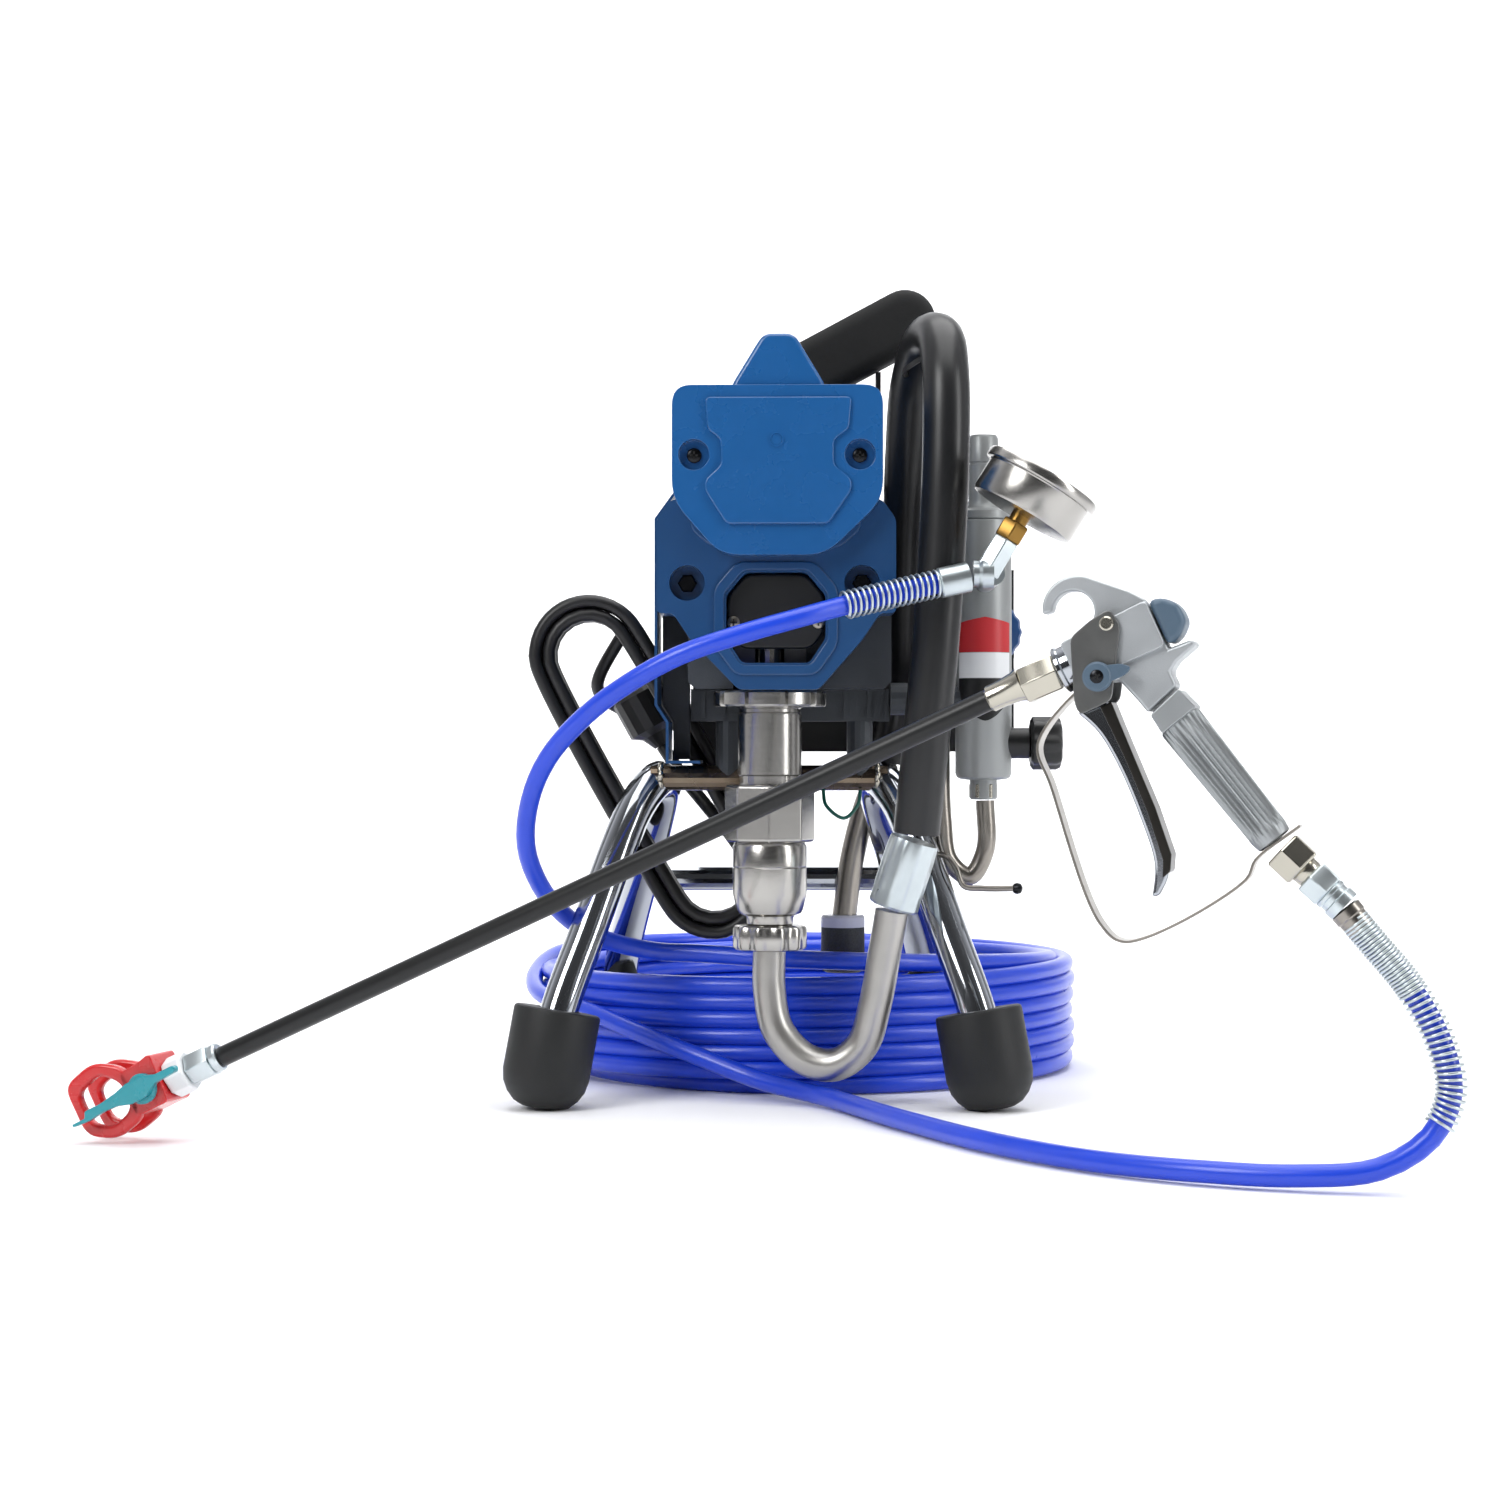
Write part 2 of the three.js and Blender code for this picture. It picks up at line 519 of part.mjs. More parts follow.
function cords() {
  node('paint_hose_a', tube(HOSE_A, HOSE_R, 8, 26), 'hose');
  node('hose_spring_machine', tube(HOSE_A.slice(0, 3), 8.6, 10, 6, HOSE_R + 1), 'zinc');
  node('paint_hose_b', tube(HOSE_B, HOSE_R, 8, 30), 'hose');
  node('hose_spring_gun', tube(HOSE_B.slice(-4), 9.4, 10, 8, HOSE_R + 2.3), 'zinc');
  const profile = [[COIL_R_IN, 0.2], [COIL_R_OUT, 0.2], [COIL_R_OUT, COIL_H], [COIL_R_IN, COIL_H], [COIL_R_IN, 0.2]];
  const ring = new THREE.LatheGeometry(profile.map((q) => new THREE.Vector2(q[0], q[1])), 40);
  ring.rotateX(Math.PI / 2);
  ring.translate(COIL_X, COIL_Y, 0);
  node('paint_hose_coil', solid(ring), 'hose');

  const lead = [[-58, 160, 226], [-72, 158, 225], [-92, 140, 230], [-106, 118, 244], [-112, 102, 262]];
  node('power_cord_lead', tube(lead, CORD_R, 8, 10), 'rubber');
  const outer = racetrack(36);
  const inner = racetrack(20);
  node('power_cord_hank', cut(prism(outer, 'y', 72, 96), prism(inner, 'y', 60, 110)), 'rubber');
  const plug = turned([[5, 0], [9, 8], [15, 12], [15, 34], [12, 38]], [-66, 114, 208], [-0.488, 0, 0.873], 16);
  node('power_cord_plug', plug, 'rubber');
}

function racetrack(half) {
  const a = [-108, 262];
  const b = [-33, 128];
  const tilt = Math.atan2(b[1] - a[1], b[0] - a[0]);
  const outline = [];
  for (const [c, start] of [[a, tilt + Math.PI / 2], [b, tilt - Math.PI / 2]]) {
    for (let i = 0; i <= 8; i++) {
      const t = start + (Math.PI * i) / 8;
      outline.push([c[0] + half * Math.cos(t), c[1] + half * Math.sin(t)]);
    }
  }
  return outline;
}

// ---------- gun, in its own frame: x runs back along the lance, z up across it ----------
const GUN = new THREE.Matrix4().makeTranslation(...GUN_AT);
GUN.multiply(new THREE.Matrix4().makeRotationZ(rad(GUN_YAW)));
GUN.multiply(new THREE.Matrix4().makeRotationY(rad(-GUN_PITCH)));

function gunNode(name, shape, finish) {
  node(name, shape.transform(GUN.elements), finish);
}

function hookOutline() {
  const centre = [-3.9, 20.4];
  const out = [[2.5, 8]];
  for (let i = 0; i <= 8; i++) {
    const t = rad(-55 + (210 * i) / 8);
    out.push([centre[0] + 10 * Math.cos(t), centre[1] + 10 * Math.sin(t)]);
  }
  for (let i = 0; i <= 7; i++) {
    const t = rad(163 - (125 * i) / 7);
    const r = 15.2 + (3 * i) / 7;
    out.push([centre[0] + r * Math.cos(t), centre[1] + r * Math.sin(t)]);
  }
  out.push([23.4, 18.9], [29.6, 10.5], [29, 8]);
  return out;
}

function gunBody() {
  const outline = [
    [-15.4, 9.3], [29.8, 10.6], [30, -14.6], [42, -15.4], [42.6, -18.6], [31.3, -21.8], [26.5, -25],
    [26.5, -32.3], [9, -38.3], [7, -30.8], [3, -18.7], [-15.4, -13.4],
  ];
  const body = prism(outline, 'y', -12.5, 12.5);
  const hook = prism(hookOutline(), 'y', -5.5, 5.5);
  const nose = rod([-22, 0, -2], [-14, 0, -2], 11.5, 20);
  gunNode('gun_body', add(body, hook, nose), 'silver');
  const cap = prism(rounded([[30.4, 10.2], [43.1, 4.3], [43.4, -8.3], [31.9, -13.4], [30.4, -13.4]], 3, 2), 'y', -11, 11);
  gunNode('gun_rear_cap', cap, 'greyBlue');
}

function gunGrip() {
  const collar = prism([[9.6, -39.2], [26.8, -33.6], [30.6, -45], [11.2, -50]], 'y', -12, 12);
  const shaft = rod([19.9, 0, -46], [37.1, 0, -116.6], 11, 16, 9.6);
  gunNode('gun_grip', add(collar, shaft), 'silver');
}

function triggerParts() {
  const cheek = rounded([[4, 12.5], [13.5, 13.5], [14.5, 4], [-3.5, -26], [-20, -26], [-20, -20], [3, 2]], 3, 2);
  const cheeks = [[-15.2, -12.8], [12.8, 15.2]].map((y) => prism(cheek, 'y', y[0], y[1]));
  const bridge = prism([[-23, -23.7], [-6, -23.7], [-7, -40], [-16, -44]], 'y', -15.2, 15.2);
  const blade = prism([
    [-16, -42], [-15, -52], [-15.4, -80], [-18.3, -106], [-25.4, -117.8], [-21, -118.5], [-14.3, -112],
    [-10.4, -104], [-8, -80], [-7, -52], [-7, -38],
  ], 'y', -8.5, 8.5);
  gunNode('trigger', add(...cheeks, bridge, blade), 'chrome');
  const boss = rod([-4.5, -15.5, -13.4], [-4.5, -20, -13.4], 7, 16);
  const lever = prism(rounded([[-4.5, -18.5], [-4.5, -8.3], [8, -12], [12, -16], [8, -19]], 2, 1), 'y', -19.5, -16);
  gunNode('trigger_lock', add(boss, lever), 'greyBlue');
}

function triggerGuard() {
  const line = [
    [-14, -14.8], [-19.5, -15.4], [-45.2, -30], [-47.5, -50], [-53, -119], [-46, -131.5], [18, -127.5],
    [26, -120.9], [51, -114.7],
  ];
  gunNode('trigger_guard', prism(ribbon(line, 1.8), 'y', -7, 7), 'steel');
}

function swivel() {
  const a = [38.6, 0, -121.2];
  const d = [0.38, 0, -0.925];
  const nuts = [rod(a, along(a, d, 14), 11, 6), rod(along(a, d, 13), along(a, d, 19), 7, 14)];
  nuts.push(rod(along(a, d, 18), along(a, d, 29), 9.6, 6));
  gunNode('gun_swivel', add(...nuts), 'steel');
  const start = along(a, d, 29.3);
  gunNode('hose_end_gun', rod(start, along(a, d, 39), 8.4, 8), 'zinc');
}

function lance() {
  const tubeBody = rod([-502, 0, 0], [-58, 0, 0], 5.3, 16);
  const ferrule = rod([-58.5, 0, 0], [-41, 0, 0], 6.4, 16);
  const nut = rod([-41.5, 0, -1.4], [-22.4, 0, -2], 9.8, 6);
  gunNode('lance', add(tubeBody, ferrule, nut), 'black');
  const washer = rod([-507, 0, 0.6], [-502.3, 0, 0.6], 7.5, 16);
  const tipNut = rod([-521, 0, 0.6], [-506, 0, 0.6], 9, 6);
  const collar = rod([-532.7, 0, 0.6], [-520, 0, 0.6], 11, 8);
  gunNode('tip_nut', add(washer, tipNut, collar), 'zinc');
}

function tipGuard() {
  const outline = rounded([
    [-533, 17], [-563.7, 26.5], [-586.6, 20.5], [-585, -8.7], [-577, -15.2], [-566, -18], [-555.5, -15.8], [-533, -10.8],
  ], 6, 2);
  const window1 = rounded([[-578, 18], [-556, 14.5], [-554.8, -5], [-574, -9.5]], 4, 2);
  const block = prism(outline, 'y', -13.5, 13.5);
  const hole = prism(window1, 'y', -30, 30);
  const slot = prism([[-600, 40], [-554.5, 40], [-554.5, -40], [-600, -40]], 'y', -7.5, 7.5);
  const bore = rod([-543.3, -30, 1], [-543.3, 30, 1], 6 + GAP, 16);
  const jet = rod([-560, 0, 1], [-543.3, 0, 1], 3.5, 12);
  gunNode('tip_guard', cut(block, hole, slot, bore, jet), 'red');
  const barrel = rod([-543.3, -15, 1], [-543.3, 14.5, 1], 6, 16);
  const key = rounded([
    [-585, -1.5], [-578, 3], [-552, 6.5], [-522, 7.5], [-518, 4.5], [-522, 1], [-552, -4.5], [-578, -3.5],
  ], 2, 1);
  gunNode('spray_tip', add(barrel, prism(key, 'y', -21.5, -14.5)), 'teal');
}

stand();
gearboxHousing();
frontHousing();
frontCover();
drive();
motorShroud();
controlBox();
handle();
pump();
suction();
filter();
gauge();
cords();
gunBody();
gunGrip();
triggerParts();
triggerGuard();
swivel();
lance();
tipGuard();

export default root;
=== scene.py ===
"""Airless paint sprayer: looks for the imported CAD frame. Machine coordinates are millimetres."""

import math

import bmesh
import bpy
from mathutils import Matrix, Vector


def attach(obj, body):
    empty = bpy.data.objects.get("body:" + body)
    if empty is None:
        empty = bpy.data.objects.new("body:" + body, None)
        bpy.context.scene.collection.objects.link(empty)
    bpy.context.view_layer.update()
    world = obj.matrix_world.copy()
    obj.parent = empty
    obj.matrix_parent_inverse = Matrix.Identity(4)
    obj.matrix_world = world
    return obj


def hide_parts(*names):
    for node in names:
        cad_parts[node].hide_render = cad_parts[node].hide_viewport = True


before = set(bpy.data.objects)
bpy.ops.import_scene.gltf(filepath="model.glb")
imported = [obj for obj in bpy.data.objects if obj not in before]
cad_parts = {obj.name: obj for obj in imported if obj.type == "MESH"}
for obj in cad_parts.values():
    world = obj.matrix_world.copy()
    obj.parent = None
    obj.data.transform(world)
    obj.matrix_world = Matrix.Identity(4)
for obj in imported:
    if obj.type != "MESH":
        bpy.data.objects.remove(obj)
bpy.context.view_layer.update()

# ---------- shared sizes, millimetres ----------
SHIFT_X, SHIFT_Y = 47.0, 24.3
HOSE_D = 11.0
SUCTION_D = 27.0
LEAD_D = 8.0
COIL_X, COIL_Y = 22.0, 232.0
PUMP_X, PUMP_Y = 1.0, 20.0
FILTER_X, FILTER_Y = 126.0, 50.0
GUN_AT = (161.6, -265.0, 253.4)
GUN_YAW, GUN_PITCH = -14.576, 24.414
GAUGE_DIR = Vector((0.515, 0.0, 0.857)).normalized()
GAUGE_AT = Vector((129.2, -38.0, 315.0))
GAUGE_Z = 303.0
GAUGE_BACK = 23.5


def at(p):
    """A machine point in the row frame, metres."""
    return Vector(((p[0] + SHIFT_X) / 1000, (p[1] + SHIFT_Y) / 1000, p[2] / 1000))


MACHINE = Matrix.Translation((SHIFT_X / 1000, SHIFT_Y / 1000, 0)) @ Matrix.Scale(0.001, 4)
GUN = (
    Matrix.Translation(at(GUN_AT))
    @ Matrix.Rotation(math.radians(GUN_YAW), 4, "Z")
    @ Matrix.Rotation(math.radians(-GUN_PITCH), 4, "Y")
    @ Matrix.Scale(0.001, 4)
)


# ---------- camera ----------
def make_camera():
    data = bpy.data.cameras.new("camera")
    data.lens = 67.2
    data.sensor_width = 36.0
    cam = bpy.data.objects.new("camera", data)
    cam.location = at((23.46, -1596.0, 205.0))
    cam.rotation_euler = (math.radians(90), 0, math.radians(1.2))
    bpy.context.scene.collection.objects.link(cam)
    bpy.context.scene.camera = cam


make_camera()


# ---------- materials ----------
def linear(rgb):
    out = []
    for v in rgb:
        v /= 255
        out.append(v / 12.92 if v <= 0.04045 else ((v + 0.055) / 1.055) ** 2.4)
    return (*out, 1.0)


def material(
    name, rgb, rough, metal=0.0, vary=0.08, scale=40.0, grain=900.0, bump=0.08,
    coat=0.0, stretch=(1, 1, 1), rough_vary=0.06, other=None,
):
    """Principled surface with colour drift, roughness drift and fine bump, all in object space."""
    mat = bpy.data.materials.new(name)
    mat.use_nodes = True
    nodes, links = mat.node_tree.nodes, mat.node_tree.links
    shader = nodes["Principled BSDF"]
    shader.inputs["Metallic"].default_value = metal
    shader.inputs["Coat Weight"].default_value = coat
    shader.inputs["Coat Roughness"].default_value = 0.12
    coords = nodes.new("ShaderNodeTexCoord")
    place = nodes.new("ShaderNodeMapping")
    place.inputs["Scale"].default_value = stretch
    links.new(coords.outputs["Object"], place.inputs["Vector"])
    drift = nodes.new("ShaderNodeTexNoise")
    drift.inputs["Scale"].default_value = scale
    drift.inputs["Detail"].default_value = 4.0
    links.new(place.outputs["Vector"], drift.inputs["Vector"])
    ramp = nodes.new("ShaderNodeMix")
    ramp.data_type = "RGBA"
    base = linear(rgb)
    low = linear(other) if other else tuple(c * (1 - vary) for c in base[:3]) + (1.0,)
    high = base if other else tuple(min(1.0, c * (1 + vary)) for c in base[:3]) + (1.0,)
    ramp.inputs[6].default_value = low
    ramp.inputs[7].default_value = high
    links.new(drift.outputs["Fac"], ramp.inputs[0])
    links.new(ramp.outputs[2], shader.inputs["Base Color"])
    fine = nodes.new("ShaderNodeTexNoise")
    fine.inputs["Scale"].default_value = grain
    fine.inputs["Detail"].default_value = 3.0
    links.new(place.outputs["Vector"], fine.inputs["Vector"])
    spread = nodes.new("ShaderNodeMapRange")
    spread.inputs["To Min"].default_value = max(0.02, rough - rough_vary)
    spread.inputs["To Max"].default_value = rough + rough_vary
    links.new(drift.outputs["Fac"], spread.inputs["Value"])
    links.new(spread.outputs["Result"], shader.inputs["Roughness"])
    relief = nodes.new("ShaderNodeBump")
    relief.inputs["Strength"].default_value = bump
    relief.inputs["Distance"].default_value = 0.0004
    links.new(fine.outputs["Fac"], relief.inputs["Height"])
    links.new(relief.outputs["Normal"], shader.inputs["Normal"])
    return mat


M = {
    "chrome": material("chrome", (172, 176, 182), 0.1, 1.0, vary=0.04, bump=0.015, rough_vary=0.03),
    "bar": material(
        "bar_plating", (122, 112, 98), 0.26, 1.0, vary=0.2, scale=45, bump=0.05, other=(92, 76, 62),
    ),
    "boot": material("boot_rubber", (13, 15, 16), 0.55, vary=0.25, grain=1500, bump=0.12),
    "casting": material("casting", (62, 66, 71), 0.5, 0.35, vary=0.2, grain=1300, bump=0.25),
    "cover": material("cover_blue", (24, 84, 142), 0.27, vary=0.05, grain=2600, bump=0.05, coat=0.25),
    "housing": material("housing_blue", (18, 64, 110), 0.34, vary=0.08, grain=2600, bump=0.06, coat=0.15),
    "knob_blue": material("knob_blue", (20, 66, 118), 0.4, vary=0.06, grain=2200, bump=0.06),
    "black": material("black_plastic", (12, 13, 14), 0.42, vary=0.2, grain=2200, bump=0.1),
    "black_metal": material("black_metal", (24, 25, 27), 0.34, 0.2, vary=0.2, grain=1800, bump=0.08),
    "screw": material("black_screw", (38, 39, 42), 0.25, 0.9, vary=0.15, grain=2500, bump=0.05),
    "foam": material("grip_foam", (13, 14, 15), 0.85, vary=0.3, grain=1300, bump=0.5),
    "pump": material(
        "pump_steel", (176, 174, 170), 0.24, 1.0, vary=0.05, grain=900, bump=0.04, stretch=(1, 1, 14),
    ),
    "tube": material("tube_alloy", (178, 176, 172), 0.36, 1.0, vary=0.12, scale=55, grain=1500, bump=0.07),
    "dull": material("dull_steel", (150, 145, 138), 0.3, 1.0, vary=0.15, scale=70, grain=1400, bump=0.05),
    "zinc": material("zinc", (196, 205, 208), 0.3, 0.9, vary=0.12, scale=90, grain=1200, bump=0.05),
    "gear": material("gear_steel", (140, 142, 146), 0.3, 1.0, vary=0.1, bump=0.05),
    "suction": material("suction_hose", (20, 21, 23), 0.34, vary=0.15, scale=30, grain=1500, bump=0.08),
    "mesh": material("strainer_mesh", (58, 60, 62), 0.5, 0.6, vary=0.5, scale=900, grain=1500, bump=0.9),
    "clear": material("strainer_collar", (188, 190, 205), 0.25, vary=0.1, grain=900, bump=0.05),
    "filter": material("filter_silver", (150, 153, 153), 0.42, 0.45, vary=0.06, grain=2600, bump=0.08),
    "brass": material("brass", (138, 106, 54), 0.3, 1.0, vary=0.15, grain=1200, bump=0.04),
    "hose": material("hose_blue", (24, 66, 206), 0.3, vary=0.12, scale=25, grain=1900, bump=0.22, coat=0.2),
    "lead": material("mains_lead", (12, 12, 14), 0.42, vary=0.2, grain=1500, bump=0.08),
    "gun": material("gun_cast", (176, 180, 183), 0.42, 0.7, vary=0.1, scale=60, grain=1500, bump=0.22),
    "grip": material("grip_cast", (158, 162, 164), 0.42, 0.7, vary=0.06, scale=60, grain=1700, bump=0.12),
    "grey_blue": material("grey_blue", (78, 98, 116), 0.42, 0.1, vary=0.08, grain=2200, bump=0.08),
    "cheek": material("cheek_plate", (112, 113, 112), 0.36, 0.85, vary=0.15, scale=70, grain=1500, bump=0.15),
    "plate": material("dark_plate", (52, 50, 47), 0.3, 0.85, vary=0.2, grain=1500, bump=0.08),
    "nickel": material("nickel", (184, 180, 168), 0.22, 1.0, vary=0.08, grain=1100, bump=0.04),
    "lance": material("lance_black", (15, 16, 17), 0.38, 0.2, vary=0.2, scale=50, grain=1600, bump=0.1),
    "red": material("guard_red", (196, 28, 30), 0.28, vary=0.08, grain=2200, bump=0.05, coat=0.3),
    "teal": material("tip_teal", (18, 138, 150), 0.28, vary=0.08, grain=2200, bump=0.05, coat=0.3),
    "white": material("white_plastic", (226, 228, 230), 0.35, vary=0.03, grain=2200, bump=0.04),
    "label_red": material("label_red", (188, 40, 46), 0.4, vary=0.05, grain=2200, bump=0.03),
    "green": material("earth_wire", (20, 92, 80), 0.4, vary=0.1, grain=2200, bump=0.05),
}


# ---------- piece helpers ----------
def dress(obj, mat, body, nodes=(), angle=32.0):
    obj.data.materials.clear()
    obj.data.materials.append(M[mat])
    if obj.type == "MESH":
        for face in obj.data.polygons:
            face.use_smooth = True
        obj.data.set_sharp_from_angle(angle=math.radians(angle))
    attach(obj, body)
    if nodes:
        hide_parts(*nodes)
    return obj


def put(name, bm, mat, body="machine", nodes=(), place=MACHINE, bevel=0.0, segments=3, angle=32.0):
    """A mesh piece from bmesh data in millimetres."""
    bmesh.ops.recalc_face_normals(bm, faces=bm.faces)
    bmesh.ops.transform(bm, matrix=place, verts=bm.verts)
    for vert in bm.verts:
        vert.co.z = max(vert.co.z, 0.0)
    mesh = bpy.data.meshes.new(name)
    bm.to_mesh(mesh)
    bm.free()
    obj = bpy.data.objects.new(name, mesh)
    bpy.context.scene.collection.objects.link(obj)
    if bevel > 0:
        mod = obj.modifiers.new("bevel", "BEVEL")
        mod.width = bevel / 1000
        mod.segments = segments
        mod.limit_method = "ANGLE"
        mod.angle_limit = math.radians(28)
        mod.harden_normals = True
    return dress(obj, mat, body, nodes, angle)


def frame_for(base, axis):
    """Matrix whose z runs along axis from base."""
    turn = Vector(axis).normalized().to_track_quat("Z", "Y").to_matrix().to_4x4()
    return Matrix.Translation(base) @ turn


def add_turned(bm, profile, base=(0, 0, 0), axis=(0, 0, 1), sides=64, waves=0, depth=0.0):
    """Adds a turned body: profile of (radius, height); waves flutes it."""
    m = frame_for(base, axis)
    rings = []
    for r, h in profile:
        ring = []
        for i in range(sides):
            a = 2 * math.pi * i / sides
            k = r - depth * (0.5 - 0.5 * math.cos(waves * a)) if waves else r
            ring.append(bm.verts.new(m @ Vector((k * math.cos(a), k * math.sin(a), h))))
        rings.append(ring)
    for a, b in zip(rings, rings[1:]):
        for i in range(sides):
            j = (i + 1) % sides
            bm.faces.new((a[i], a[j], b[j], b[i]))
    bm.faces.new(list(reversed(rings[0])))
    bm.faces.new(rings[-1])


def turned(name, profile, mat, base=(0, 0, 0), axis=(0, 0, 1), sides=64, **kw):
    bm = bmesh.new()
    extra = {k: kw.pop(k) for k in ("waves", "depth") if k in kw}
    add_turned(bm, profile, base, axis, sides, **extra)
    return put(name, bm, mat, **kw)


def add_slab(bm, outline, y0, y1, axis="y"):
    """Adds an outline pushed along an axis; outline points are (x, z), (y, z) or (x, y)."""
    def spot(q, d):
        if axis == "y":
            return Vector((q[0], d, q[1]))
        if axis == "x":
            return Vector((d, q[0], q[1]))
        return Vector((q[0], q[1], d))

    a = [bm.verts.new(spot(q, y0)) for q in outline]
    b = [bm.verts.new(spot(q, y1)) for q in outline]
    n = len(outline)
    for i in range(n):
        j = (i + 1) % n
        bm.faces.new((a[i], a[j], b[j], b[i]))
    bm.faces.new(list(reversed(a)))
    bm.faces.new(b)


def slab(name, outline, y0, y1, mat, axis="y", **kw):
    bm = bmesh.new()
    add_slab(bm, outline, y0, y1, axis)
    return put(name, bm, mat, **kw)


def rounded(points, radius, steps=6):
    out = []
    n = len(points)
    for i in range(n):
        here = Vector(points[i])
        before = Vector(points[i - 1]) - here
        after = Vector(points[(i + 1) % n]) - here
        reach = min(radius, before.length * 0.48, after.length * 0.48)
        a = here + before.normalized() * reach
        b = here + after.normalized() * reach
        for k in range(steps + 1):
            t = k / steps
            p = (1 - t) ** 2 * a + 2 * t * (1 - t) * here + t * t * b
            out.append((p.x, p.y))
    return out


def carve(obj, *cutters):
    """Cuts what each builder adds to a bmesh, in machine millimetres, out of a piece before its bevel."""
    for build in cutters:
        bm = bmesh.new()
        build(bm)
        bmesh.ops.recalc_face_normals(bm, faces=bm.faces)
        bmesh.ops.transform(bm, matrix=MACHINE, verts=bm.verts)
        mesh = bpy.data.meshes.new("cutter")
        bm.to_mesh(mesh)
        bm.free()
        tool = bpy.data.objects.new("cutter", mesh)
        bpy.context.scene.collection.objects.link(tool)
        mod = obj.modifiers.new("cut", "BOOLEAN")
        mod.operation = "DIFFERENCE"
        mod.solver = "EXACT"
        mod.object = tool
        order = len(obj.modifiers) - 1
        obj.modifiers.move(order, 0)
        bpy.context.view_layer.update()
        with bpy.context.temp_override(object=obj, active_object=obj):
            bpy.ops.object.modifier_apply(modifier=mod.name)
        bpy.data.objects.remove(tool)
        bpy.data.meshes.remove(mesh)
    for face in obj.data.polygons:
        face.use_smooth = True
    obj.data.set_sharp_from_angle(angle=math.radians(32))


def smooth_path(points, step=4.0):
    """Centripetal Catmull-Rom through the points, sampled about every step mm."""
    pts = [Vector(p) for p in points]
    ends = [pts[0] * 2 - pts[1], *pts, pts[-1] * 2 - pts[-2]]
    out = []
    for i in range(1, len(ends) - 2):
        p0, p1, p2, p3 = ends[i - 1 : i + 3]
        t0 = 0.0
        t1 = t0 + max(1e-6, (p1 - p0).length ** 0.5)
        t2 = t1 + max(1e-6, (p2 - p1).length ** 0.5)
        t3 = t2 + max(1e-6, (p3 - p2).length ** 0.5)
        count = max(1, int((p2 - p1).length / step))
        for k in range(count):
            t = t1 + (t2 - t1) * k / count
            a1 = p0.lerp(p1, (t - t0) / (t1 - t0))
            a2 = p1.lerp(p2, (t - t1) / (t2 - t1))
            a3 = p2.lerp(p3, (t - t2) / (t3 - t2))
            b1 = a1.lerp(a2, (t - t0) / (t2 - t0))
            b2 = a2.lerp(a3, (t - t1) / (t3 - t1))
            out.append(b1.lerp(b2, (t - t1) / (t2 - t1)))
    out.append(pts[-1])
    return out


def curve(name, points, r, mat, body="machine", nodes=(), place=MACHINE, sides=5, closed=False):
    """A round bar along points in millimetres, as a curve with a bevel."""
    data = bpy.data.curves.new(name, "CURVE")
    data.dimensions = "3D"
    data.bevel_depth = r / 1000
    data.bevel_resolution = sides
    data.use_fill_caps = True
    line = data.splines.new("POLY")
    line.points.add(len(points) - 1)
    for point, p in zip(line.points, points):
        point.co = (*(place @ Vector(p)), 1.0)
    line.use_cyclic_u = closed
    line.use_smooth = True
    obj = bpy.data.objects.new(name, data)
    bpy.context.scene.collection.objects.link(obj)
    return dress(obj, mat, body, nodes)


def path_length(points):
    return sum((b - a).length for a, b in zip(points, points[1:]))


def taper(name, points, radii, mat, sides=24):
    """A solid round sleeve whose radius changes along its points."""
    bm = bmesh.new()
    rings = []
    for i, (p, r) in enumerate(zip(points, radii)):
        ahead = points[min(i + 1, len(points) - 1)] - points[max(i - 1, 0)]
        m = frame_for(p, ahead)
        angles = (2 * math.pi * k / sides for k in range(sides))
        rings.append([bm.verts.new(m @ Vector((r * math.cos(a), r * math.sin(a), 0))) for a in angles])
    for a, b in zip(rings, rings[1:]):
        for k in range(sides):
            j = (k + 1) % sides
            bm.faces.new((a[k], a[j], b[j], b[k]))
    bm.faces.new(list(reversed(rings[0])))
    bm.faces.new(rings[-1])
    return put(name, bm, mat)


# ---------- cords ----------
HOSE_A = [
    (112.3, -38.4, 301.2), (97, -41, 297.7), (46.1, -60, 285), (18.8, -74, 277), (-13.6, -80, 267.6),
    (-46.2, -78, 256.5), (-74, -70, 242), (-99.8, -55, 223.7), (-122, -36, 200.5), (-133.6, -20, 176.8),
    (-137.4, -5, 150.9), (-131.4, 15, 127.2), (-117.8, 45, 106.4), (-98, 72, 92), (-70, 84, 84.4),
    (-40, 80, 83),
]
HOSE_B = [
    (-139, 150, 50), (-123, 124, 48), (-104, 102, 44), (-79, 80, 36), (-42, 58, 24), (-5, 40, 12),
    (30, 10, 7), (72.6, -87, 6.2), (119.8, -183, 6.2), (164, -241, 6.2), (208, -275, 6.8), (250, -293, 7.6),
    (286, -301, 12), (309, -304, 27), (318, -305.6, 48), (313, -304.5, 72), (300, -301, 96), (284, -297, 116),
    (273.6, -294.2, 129),
]
ROW = 10.98  # from one turn of the coil to the next, upwards


